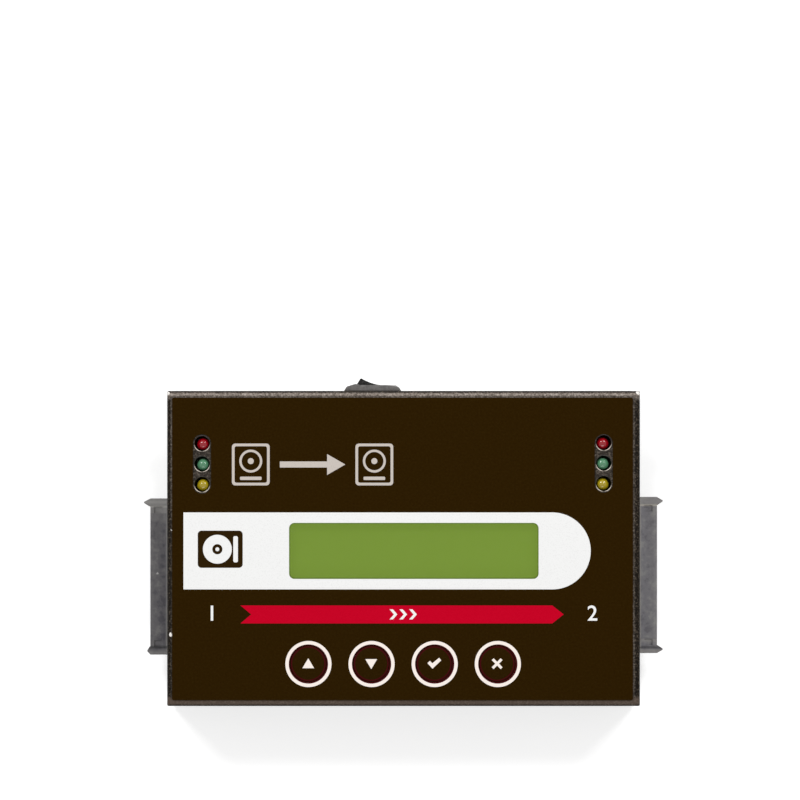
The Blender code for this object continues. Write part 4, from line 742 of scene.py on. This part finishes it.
def outline(name, loops, low, high):
    """A flat plate from closed outlines, the first of which is its edge."""
    deselect()
    bpy.ops.object.add(type="CURVE", location=(middle.x, middle.y, (low + high) / 2))
    piece = bpy.context.object
    piece.name = name
    piece.data.dimensions = "2D"
    piece.data.fill_mode = "BOTH"
    piece.data.extrude = (high - low) / 2
    for loop in loops:
        spline = piece.data.splines.new("POLY")
        spline.points.add(len(loop) - 1)
        spline.use_cyclic_u = True
        for point, (x, y) in zip(spline.points, loop):
            point.co = (x / 1000, y / 1000, 0, 1)
    bpy.ops.object.convert(target="MESH")
    piece = bpy.context.object
    bpy.ops.object.transform_apply()
    edit(piece, everything=True)
    bpy.ops.mesh.remove_doubles(threshold=SAME_INK_POINT)
    bpy.ops.mesh.normals_make_consistent(inside=False)
    close_edit()
    return piece


def print_shape(name, loops, ink, body="case", layer=0):
    """Lays one inked shape on the film, or on the layer of ink below it."""
    top = film_top + layer * INK_RISE
    dress(outline(name, loops, top - INK_SINK, top + INK_RISE), ink, body, "film")


def arc(centre, radius, start, end, steps):
    """Points on an arc between two angles in degrees."""
    angles = [math.radians(start + (end - start) * i / steps) for i in range(steps + 1)]
    return [(centre[0] + radius * math.cos(a), centre[1] + radius * math.sin(a)) for a in angles]


def ring(centre, radius, steps=64):
    return arc(centre, radius, 0, 360 - 360 / steps, steps - 1)


def soft_box(left, low, right, high, radius, steps=6):
    """A rectangle with round corners."""
    return (arc((right - radius, high - radius), radius, 0, 90, steps)
            + arc((left + radius, high - radius), radius, 90, 180, steps)
            + arc((left + radius, low + radius), radius, 180, 270, steps)
            + arc((right - radius, low + radius), radius, 270, 360, steps))


window_hole = soft_box(-33.85, -8.9, 40.05, 7.7, 1.6, 10)
band = [(-65.15, -12.0)] + arc((44.1, -0.6), 11.4, -90, 90, 48) + [(-65.15, 10.8)]
print_shape("white_band", [band, window_hole], white_ink)
arrow = [(-48.3, -22.1), (44.1, -22.1), (47.5, -19.4), (44.1, -16.75), (-48.3, -16.75), (-45.1, -19.4)]
print_shape("red_arrow", [arrow], red_ink)
for i in range(3):
    x = -3.6 + 2.9 * i
    chevron = [(x - 0.5, -17.9), (x + 0.5, -17.9), (x + 1.8, -19.4), (x + 0.5, -20.9), (x - 0.5, -20.9),
               (x + 0.8, -19.4)]
    print_shape(f"arrow_chevron_{i + 1}", [chevron], white_ink, layer=1)

# Band mark: a plain picture of a drive, its platter and its arm
plaque = soft_box(-60.9, -5.6, -47.6, 5.4, 1.1)
print_shape("drive_picture", [plaque, ring((-55.1, -0.1), 4.3), soft_box(-50.4, -4.0, -49.0, 3.8, 0.5)],
            brown_ink, layer=1)
print_shape("drive_picture_hub", [ring((-55.1, -0.1), 1.5, 32), ring((-55.1, -0.1), 0.6, 24)], brown_ink,
            layer=1)

# Title picture: two drives with an arrow from the first to the second
for name, left in (("first_drive_picture", -50.8), ("second_drive_picture", -14.2)):
    print_shape(name, [soft_box(left, 18.8, left + 11.2, 31.2, 1.0),
                       soft_box(left + 0.8, 19.6, left + 10.4, 30.4, 0.6)], silver_ink)
    hub = (left + 5.6, 26.0)
    print_shape(name + "_platter", [ring(hub, 3.4), ring(hub, 2.7)], silver_ink)
    print_shape(name + "_hub", [ring(hub, 0.9, 24)], silver_ink)
    print_shape(name + "_plug", [soft_box(left + 2.4, 20.4, left + 8.8, 21.4, 0.3)], silver_ink)
shaft = [(-36.6, 24.1), (-22.6, 24.1), (-22.6, 21.9), (-17.2, 25.0), (-22.6, 28.1), (-22.6, 25.9),
         (-36.6, 25.9)]
print_shape("title_arrow", [shaft], silver_ink)


def number(name, text, x, y, height):
    """A plain printed figure, centred on a point."""
    deselect()
    bpy.ops.object.text_add(location=(0, 0, 0))
    figure = bpy.context.object
    figure.name = name
    figure.data.body = text
    figure.data.size = height / 1000 * FIGURE_SHARE
    figure.data.align_x = "CENTER"
    figure.data.align_y = "CENTER"
    figure.data.extrude = (INK_RISE + INK_SINK) / 2
    figure.data.offset = FIGURE_WEIGHT
    bpy.ops.object.convert(target="MESH")
    figure = bpy.context.object
    figure.location = (middle.x + x / 1000, middle.y + y / 1000, film_top + (INK_RISE - INK_SINK) / 2)
    bpy.ops.object.transform_apply()
    edit(figure, everything=True)
    bpy.ops.mesh.remove_doubles(threshold=SAME_INK_POINT)
    close_edit()
    dress(figure, white_ink, "case", "film")


number("source_number", "1", -56.7, -19.3, 4.4)
number("target_number", "2", 56.0, -19.3, 4.4)

# Keys: four discs of the same film that give under a finger, each inside a printed white ring.
# A thin maroon line edges every disc, and white signs show what each one does.
RING_OUTER = 6.83
RING_INNER = 5.82
RING_DRIFT = (0.05, -0.1)
KEY_EDGE = (5.17, 4.75)
SLIT_EDGE = 0.02
maroon_ink = ink("maroon_ink", (64, 8, 12))
ring_ink = ink("ring_ink", (255, 244, 236))
SIGNS = {
    "up": [(0, 1.6), (-1.75, -1.35), (1.75, -1.35)],
    "down": [(0, -1.6), (1.75, 1.35), (-1.75, 1.35)],
    "confirm": [(-2.0, 0.15), (-1.25, 0.85), (-0.55, 0.1), (1.45, 1.75), (2.1, 1.0), (-0.5, -1.5)],
    "cancel": [(-1.6, 1.05), (-1.05, 1.6), (0, 0.55), (1.05, 1.6), (1.6, 1.05), (0.55, 0), (1.6, -1.05),
               (1.05, -1.6), (0, -0.55), (-1.05, -1.6), (-1.6, -1.05), (-0.55, 0)],
}
for key in KEYS:
    low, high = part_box("key_" + key)
    at = (low + high) / 2
    x, y = (at.x - middle.x) * 1000, (at.y - middle.y) * 1000
    body = f"key_{key}_body"
    disc = start_disc("key_disc_" + key, at, (high.x - low.x) / 2, low.z - FILM_SETTLE, film_top, KEY_STEPS)
    soften(disc, FINE_EDGE, 2)
    dress(disc, film_satin, body, "film", "key_" + key)
    around_key = (x + RING_DRIFT[0] * (KEYS.index(key) + 1), y + RING_DRIFT[1])
    inner_ring = ring(around_key, RING_INNER, KEY_STEPS)
    print_shape("key_ring_" + key, [ring(around_key, RING_OUTER, KEY_STEPS), inner_ring], ring_ink)
    print_shape("key_edge_" + key, [ring((x, y), radius, KEY_STEPS) for radius in KEY_EDGE], maroon_ink, body)
    print_shape("key_slit_edge_" + key, [inner_ring, ring((x, y), KEY_SLIT * 1000 + SLIT_EDGE, KEY_STEPS)],
                maroon_ink)
    print_shape("key_sign_" + key, [[(x + u, y + v) for u, v in SIGNS[key]]], ring_ink, body)

# Display: a clear acrylic insert, snapped in from below, over the blank green glass of a
# two-line character module. The glass glows evenly, as painted light that evens out the shade under the
# window.
ACRYLIC_GREEN = (120, 148, 57)
GLASS_GREEN = (30, 38, 14)
PAINTED_GLOW_GREEN = (124, 153, 59)
PANE_EDGE = 0.0002
acrylic = surface("clear_acrylic", around(ACRYLIC_GREEN, 0.02), (0.08, 0.2), 900.0, 0.01, Alpha=0.3,
                  Specular_IOR_Level=0.08)
green_glass = surface("display_green", around(GLASS_GREEN, 0.08), (0.3, 0.42), 500.0, 0.0,
                      Specular_IOR_Level=0.05, Emission_Strength=1.0)
# Painted light: the glass glows green so that it looks evenly lit under the window
glowing_shader = green_glass.node_tree.nodes["Principled BSDF"]
glowing_shader.inputs["Emission Color"].default_value = linear(PAINTED_GLOW_GREEN)
finish_copy("display_window", "window_insert", FINE_EDGE, 1, acrylic, "window_plastic")
glass_low, glass_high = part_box("display_glass")
panel = start_box("display_pane", glass_low, glass_high)
soften(panel, PANE_EDGE, 2)
dress(panel, green_glass, "case", "display_glass", "display_glass")

# Lamps: moulded epoxy domes on two leads each, recessed in their punched holes and a little aslant.
# They are unlit and clear at the tip. Their colour is painted lighter near the top and towards the front,
# and darker down the side, with painted shade below in the case.
LENS_COLOURS = {"red": (142, 4, 20), "green": (76, 128, 95), "yellow": (158, 138, 18)}
LENS_RADIUS = 0.00187
DOME_HEIGHT = 0.0018
FLANGE_RADIUS = 0.0022
FLANGE_LEVELS = (-0.0063, -0.0052)
LENS_PAINTED_SHADE = ((0.0, 0.04), (0.14, 0.10), (0.24, 0.42), (0.55, 0.95), (0.80, 1.20), (1.0, 1.02))
LENS_SHADE_DEPTH = 0.0029
LENS_LIGHT_SLOPE = (0, -0.35, 1)
LENS_SHADE_MIX = 0.8
LENS_GLOSS = (0.05, 0.2)
LENS_TIP = 0.00004
LENS_SINK = 0.0003
LENS_TILT = {"source": -5.5, "target": 5.5}
LENS_DRIFT = {"source": -0.00017, "target": 0.00008}
DOME_STEPS = 9
LEAD_PLACES = (-0.00127, 0.00127)
LEAD_HALF = 0.00025
LEAD_OVERLAP = 0.0001

for lamp in LAMPS:
    tip = centre_of("source_lamp_" + lamp)
    tip.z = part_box("source_lamp_" + lamp)[1].z
    lens = surface("lens_" + lamp, around(LENS_COLOURS[lamp], 0.05), (0.16, 0.26), 1200.0, 0.02,
                   Specular_IOR_Level=0.0, Coat_Roughness=0.03)
    tree = lens.node_tree
    shader = tree.nodes["Principled BSDF"]
    below = add_node(tree, "VectorMath", "SUBTRACT")
    below.inputs[1].default_value = tip
    slope = add_node(tree, "VectorMath", "DOT_PRODUCT")
    slope.inputs[1].default_value = LENS_LIGHT_SLOPE
    how_high = add_node(tree, "MapRange", From_Min=-LENS_SHADE_DEPTH, From_Max=0.0)
    gloss = add_node(tree, "MapRange", From_Min=LENS_GLOSS[0], From_Max=LENS_GLOSS[1])
    # Painted shade: the lens colour darkens down the side and below the dome, and is lighter towards the
    # front
    painted_shade = add_node(tree, "ValToRGB")
    for i, (stop, amount) in enumerate(LENS_PAINTED_SHADE):
        mark = painted_shade.color_ramp.elements[i] if i < 2 else painted_shade.color_ramp.elements.new(stop)
        mark.position = stop
        mark.color = linear([min(255, value * amount) for value in LENS_COLOURS[lamp]])
    shade_mix = colour_mix(tree)
    shade_mix.inputs["Factor"].default_value = LENS_SHADE_MIX
    base = shader.inputs["Base Color"]
    wire(tree, (object_place(lens), below.inputs[0]), (below.outputs[0], slope.inputs[0]),
         (slope.outputs["Value"], how_high.inputs["Value"]), (how_high.outputs["Result"], painted_shade.inputs["Fac"]),
         (how_high.outputs["Result"], gloss.inputs["Value"]),
         (gloss.outputs["Result"], shader.inputs["Coat Weight"]),
         (base.links[0].from_socket, shade_mix.inputs["A"]), (painted_shade.outputs["Color"], shade_mix.inputs["B"]))
    wire(tree, (shade_mix.outputs["Result"], base))
    for side in SIDES:
        node = f"{side}_lamp_{lamp}"
        low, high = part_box(node)
        at = (low + high) / 2
        at.y += LENS_DRIFT[side]
        dome = start_disc(node + "_lens", at, LENS_RADIUS, high.z + FLANGE_LEVELS[0] / 2,
                          high.z - DOME_HEIGHT, 48)
        edit(dome)
        pick_faces(dome, lambda spot, facing: facing.z > 0.9)
        for i in range(1, DOME_STEPS):
            turn, last = math.pi / 2 * i / DOME_STEPS, math.pi / 2 * (i - 1) / DOME_STEPS
            bpy.ops.mesh.extrude_region_move(
                TRANSFORM_OT_translate={"value": (0, 0, DOME_HEIGHT * (math.sin(turn) - math.sin(last)))})
            shrink = math.cos(turn) / math.cos(last)
            bpy.ops.transform.resize(value=(shrink, shrink, 1), center_override=(at.x, at.y, high.z))
        bpy.ops.mesh.poke(offset=LENS_TIP)
        pick_faces(dome, lambda spot, facing: facing.z < -0.9)
        bpy.ops.transform.translate(value=(0, 0, FLANGE_LEVELS[1] - LENS_SINK - FLANGE_LEVELS[0] / 2))
        bpy.ops.mesh.select_all(action="SELECT")
        bpy.ops.transform.rotate(value=math.radians(LENS_TILT[side]), orient_axis="Y",
                                 center_override=(at.x, at.y, high.z + FLANGE_LEVELS[1]))
        close_edit()
        at.y -= LENS_DRIFT[side]
        flange_low, flange_high = high.z + FLANGE_LEVELS[0], high.z + FLANGE_LEVELS[1]
        flange = start_disc("flange", at, FLANGE_RADIUS, flange_low, flange_high, 48)
        merge_shapes(dome, flange, "UNION")
        for place in LEAD_PLACES:
            lead = start_box("lead", (at.x + place - LEAD_HALF, at.y - LEAD_HALF, low.z),
                             (at.x + place + LEAD_HALF, at.y + LEAD_HALF, flange_low + LEAD_OVERLAP))
            merge_shapes(dome, lead, "UNION")
        soften(dome)
        dress(dome, lens, "case", "lamp_" + lamp, node)

# Drive sockets: grey moulded receptacles that stand out of both sides, each with two keyed slots of
# gilt contacts and a pointed post at each end, with a dark band of painted shadow at the rear edge of the
# front one. The posts are paler, with lines of painted highlight on them, the shoulder at the wall carries
# a painted highlight, and the source side's socket is coloured darker than the target's.
SOCKET_GREYS = {"source": ((82, 80, 85), (100, 98, 101), (119, 117, 117)),
                "target": ((107, 105, 110), (125, 123, 127), (141, 140, 139))}
PALE_AND_HIGHLIGHT_GREY = {"source": (158, 156, 152), "target": (175, 170, 162)}
SHADOW_GREY = (52, 51, 53)
PALE_POSTS_AND_HIGHLIGHTS = {
    "source": (("rear", -1.0, 0.0, 4.40, 4.90, 0.54), ("rear", -1.0, 0.0, 6.60, 7.60, 0.25),
               ("rear", 0.50, 1.00, 1.60, 1.90, 0.75), ("rear", 2.05, 2.35, 2.80, 3.10, 0.95),
               ("front", -1.0, 0.0, 0.30, 1.40, 0.42)),
    "target": (("rear", -1.0, 0.0, 2.30, 2.50, 0.28), ("rear", 1.60, 2.00, 2.40, 2.50, 1.0),
               ("front", -1.0, 0.0, 1.10, 1.50, 0.33), ("front", 2.90, 3.90, 4.10, 4.70, 0.38))}
SHOULDER_HIGHLIGHTS = ((-0.65, -0.30, 0.35, 0.75, 0.62), (1.5, 5.0, 6.0, 7.0, 0.12))
POST_SHADOWS = {"source": (1.20, 1.70, 2.15, 2.50, 0.65), "target": (1.30, 1.65, 1.95, 2.25, 0.62)}
SOCKET_GROWTH = 1.0035
MOUTH_BEHIND = 0.0019
MOUTH_DRIFT = {"source": 0.0, "target": 0.0002}
SAME_PLANE = 0.00005
SOCKET_SHIFT = {"source": -0.00025, "target": 0.0002}
BLUNT_TIP = 0.0010
CONTACT_REACH = 0.0045
CONTACT_LEVELS = (0.0037, 0.0042)
TAILS_BEHIND = 0.0121
NICK = (-0.07319, -0.00954)
NICK_DEPTH = 0.0005
NICK_SIZE = 0.0006
NICK_GREY = (180, 178, 176)
gilt = surface("gilt_contact", around((206, 166, 84), 0.15), (0.2, 0.34), 2400.0, 0.05, 1.0)
for side, away in (("source", -1), ("target", 1)):
    node = side + "_socket"
    low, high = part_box(node)
    wall = cover_low.x if away < 0 else cover_high.x
    plastic = surface(side + "_socket_plastic", SOCKET_GREYS[side], (0.42, 0.6), 420.0, 0.2,
                      Specular_IOR_Level=0.2)
    ends = {"rear": ("Y", high.y, 1), "front": ("Y", low.y, -1)}
    # Painted highlight: pale lines on the posts and along the shoulder at the wall, over posts that are paler
    # all over
    pale_and_highlight_bands = [(*ends[end], *reach) for end, *reach in PALE_POSTS_AND_HIGHLIGHTS[side]]
    pale_and_highlight_bands += [("X", wall, -away, *reach) for reach in SHOULDER_HIGHLIGHTS]
    overlay(plastic, bands_in(plastic, pale_and_highlight_bands), PALE_AND_HIGHLIGHT_GREY[side])
    # Painted shadow: a dark band at the rear edge of the front post, where shade falls
    overlay(plastic, bands_in(plastic, [(*ends["front"], *POST_SHADOWS[side])]), SHADOW_GREY)
    if side == "source":
        overlay(plastic, spots_in(plastic, [((*NICK, high.z - NICK_DEPTH), NICK_SIZE)]), NICK_GREY)
    housing = copy_of(node, side + "_receptacle")
    housing.data.materials.append(plastic)
    housing.data.materials.append(gilt)
    edit(housing, everything=True)
    bpy.ops.transform.translate(value=(0, SOCKET_SHIFT[side], 0))
    bpy.ops.transform.resize(value=(1, SOCKET_GROWTH, 1), center_override=(low + high) / 2)
    mouth = (low.x if away < 0 else high.x) - away * MOUTH_BEHIND
    pick_edges(housing, lambda a, b: max(abs(a.x - mouth), abs(b.x - mouth)) < SAME_PLANE)
    bpy.ops.transform.translate(value=(away * MOUTH_DRIFT[side], 0, 0))
    if side == "source":
        pick_edges(housing, lambda a, b: max(a.x, b.x) < low.x + BLUNT_TIP / 2
                   and a.y < (low.y + high.y) / 2)
        bpy.ops.transform.translate(value=(BLUNT_TIP, 0, 0))
    pick_faces(housing, lambda spot, facing: (spot.x - wall) * away < -TAILS_BEHIND
               or (0 < (spot.x - wall) * away < CONTACT_REACH
                   and CONTACT_LEVELS[0] < spot.z - low.z < CONTACT_LEVELS[1]))
    housing.active_material_index = 1
    bpy.ops.object.material_slot_assign()
    close_edit()
    soften(housing, FINE_EDGE, 2)
    dress(housing, None, "case", "socket_plastic", node)

# Rocker switch: a grey bezel snapped into the rear side, and a black paddle with a hollow face.
# The paddle rocks on an upright axle, and its face carries a printed bar for on and a ring for off.
BEZEL_GREY = (113, 110, 108)
PADDLE_BLACK = (25, 24, 23)
BEZEL_FOOT = 0.00002
BEZEL_REACH = 0.0005
BEZEL_EDGE = 0.00015
BEZEL_SHAPE = {(-16.55, 45.98): (-16.8, 46.1), (-15.75, 46.12): (-15.4, 46.27),
               (-13.59, 46.49): (-14.2, 46.88), (-10.63, 46.75): (-12.9, 46.55),
               (-7.67, 46.75): (-7.67, 46.54), (-4.71, 46.49): (-4.71, 46.5),
               (-2.55, 46.12): (-2.3, 46.42), (-1.75, 45.98): (-1.25, 45.85)}
SAME_CORNER = 0.1
MARK_SIZE = 0.0022
MARK_LINE = 0.00035
MARK_PLACES = {"on": -0.0024, "off": 0.0036}
bezel_plastic = surface("bezel_plastic", around(BEZEL_GREY, 0.14), (0.4, 0.56), 900.0, 0.15,
                        Specular_IOR_Level=0.2)
paddle_plastic = surface("paddle_plastic", around(PADDLE_BLACK, 0.3), (0.34, 0.5), 900.0, 0.12,
                         Specular_IOR_Level=0.15)
bezel = copy_of("rocker_bezel", "switch_bezel")
edit(bezel)
shell = bmesh.from_edit_mesh(bezel.data)
for corner in shell.verts:
    if cover_high.y - COAT_THICKNESS.y < corner.co.y < cover_high.y + BEZEL_REACH:
        corner.co.y = cover_high.y + BEZEL_FOOT
    for (x, y), (new_x, new_y) in BEZEL_SHAPE.items():
        if abs(corner.co.x * 1000 - x) < SAME_CORNER and abs(corner.co.y * 1000 - y) < SAME_CORNER:
            corner.co.x, corner.co.y = new_x / 1000, new_y / 1000
            break
bmesh.update_edit_mesh(bezel.data)
close_edit()
soften(bezel, BEZEL_EDGE, 2)
dress(bezel, bezel_plastic, "case", "bezel_plastic", "rocker_bezel")
paddle = finish_copy("rocker_paddle", "switch_paddle", HAIR_EDGE, 2, paddle_plastic, "black_plastic",
                     "rocker")
paddle_low, paddle_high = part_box("rocker_paddle")
for sign, along in MARK_PLACES.items():
    deselect()
    at = Vector(((paddle_low.x + paddle_high.x) / 2 + along, paddle_high.y,
                 (paddle_low.z + paddle_high.z) / 2))
    if sign == "on":
        bpy.ops.mesh.primitive_plane_add(size=1, location=at, rotation=(math.pi / 2, 0, 0))
        bpy.context.object.scale = (MARK_LINE, MARK_SIZE, 1)
    else:
        bpy.ops.mesh.primitive_circle_add(vertices=32, radius=MARK_SIZE / 2, location=at,
                                          rotation=(math.pi / 2, 0, 0))
    mark = bpy.context.object
    mark.name = "switch_sign_" + sign
    bpy.ops.object.transform_apply()
    if sign == "off":
        edit(mark, everything=True)
        bpy.ops.mesh.extrude_region_move(TRANSFORM_OT_translate={"value": (0, 0, 0)})
        inner = 1 - 2 * MARK_LINE / MARK_SIZE
        bpy.ops.transform.resize(value=(inner, 1, inner), center_override=at)
        close_edit()
    fit = mark.modifiers.new("fit", "SHRINKWRAP")
    fit.target = paddle
    fit.wrap_method = "PROJECT"
    fit.use_project_y = True
    fit.use_negative_direction = True
    fit.use_positive_direction = False
    fit.offset = INK_SINK
    coat = mark.modifiers.new("ink", "SOLIDIFY")
    coat.thickness = INK_SINK + INK_RISE
    coat.offset = 0
    apply_all(mark)
    dress(mark, white_ink, "rocker", "film")

# Power inlet: a moulded black block soldered to the main board, its mouth flush with the rear side.
# A bright plated pin stands in the middle of its round bore.
INLET_BLACK = (34, 34, 34)
INLET_EDGE = 0.0001
inlet_plastic = surface("inlet_plastic", around(INLET_BLACK, 0.3), (0.3, 0.5), 1100.0, 0.12,
                        Specular_IOR_Level=0.3)
finish_copy("power_inlet", "inlet_block", INLET_EDGE, 2, inlet_plastic, "black_plastic")
finish_copy("power_inlet_pin", "inlet_pin", FINE_EDGE, 1, plated, "plated_steel")

# Inside the case: green laminate boards, moulded blocks, cans, brass spacers and wiring, hidden but
# for what shows through the gaps. Each CAD solid keeps its shape and gets its own finish.
INNER = {
    "board_laminate": (((16, 56, 32), (24, 74, 44), (44, 104, 66)), (0.25, 0.45), 700.0, 0.2, 0.0),
    "black_plastic": (around((36, 36, 35), 0.3), (0.4, 0.6), 1100.0, 0.15, 0.0),
    "frame_metal": (around((34, 34, 33), 0.25), (0.35, 0.5), 2600.0, 0.1, 0.4),
    "backlight_plastic": (around((228, 230, 220), 0.05), (0.4, 0.55), 900.0, 0.08, 0.0),
    "chip_resin": (around((28, 28, 30), 0.35), (0.45, 0.65), 2200.0, 0.25, 0.0),
    "ferrite": (around((58, 58, 62), 0.3), (0.5, 0.7), 1800.0, 0.3, 0.0),
    "capacitor_can": (around((196, 196, 192), 0.1), (0.22, 0.4), 3000.0, 0.06, 1.0),
    "brass": (around((200, 166, 92), 0.14), (0.24, 0.42), 2600.0, 0.08, 1.0),
    "plug_plastic": (around((226, 222, 208), 0.06), (0.4, 0.55), 1000.0, 0.1, 0.0),
    "wire_red": (around((150, 24, 24), 0.15), (0.35, 0.5), 1400.0, 0.1, 0.0),
    "wire_black": (around((28, 28, 30), 0.25), (0.35, 0.5), 1400.0, 0.1, 0.0),
}
inner_finishes = {slot: surface("inner_" + slot, *values) for slot, values in INNER.items()}
inner_finishes["plated_steel"] = plated
for entry in frame["record"]["subparts"]:
    if entry["material_slot"] in inner_finishes:
        inner = frame["nodes"][entry["node"]]
        inner.data.materials.clear()
        inner.data.materials.append(inner_finishes[entry["material_slot"]])
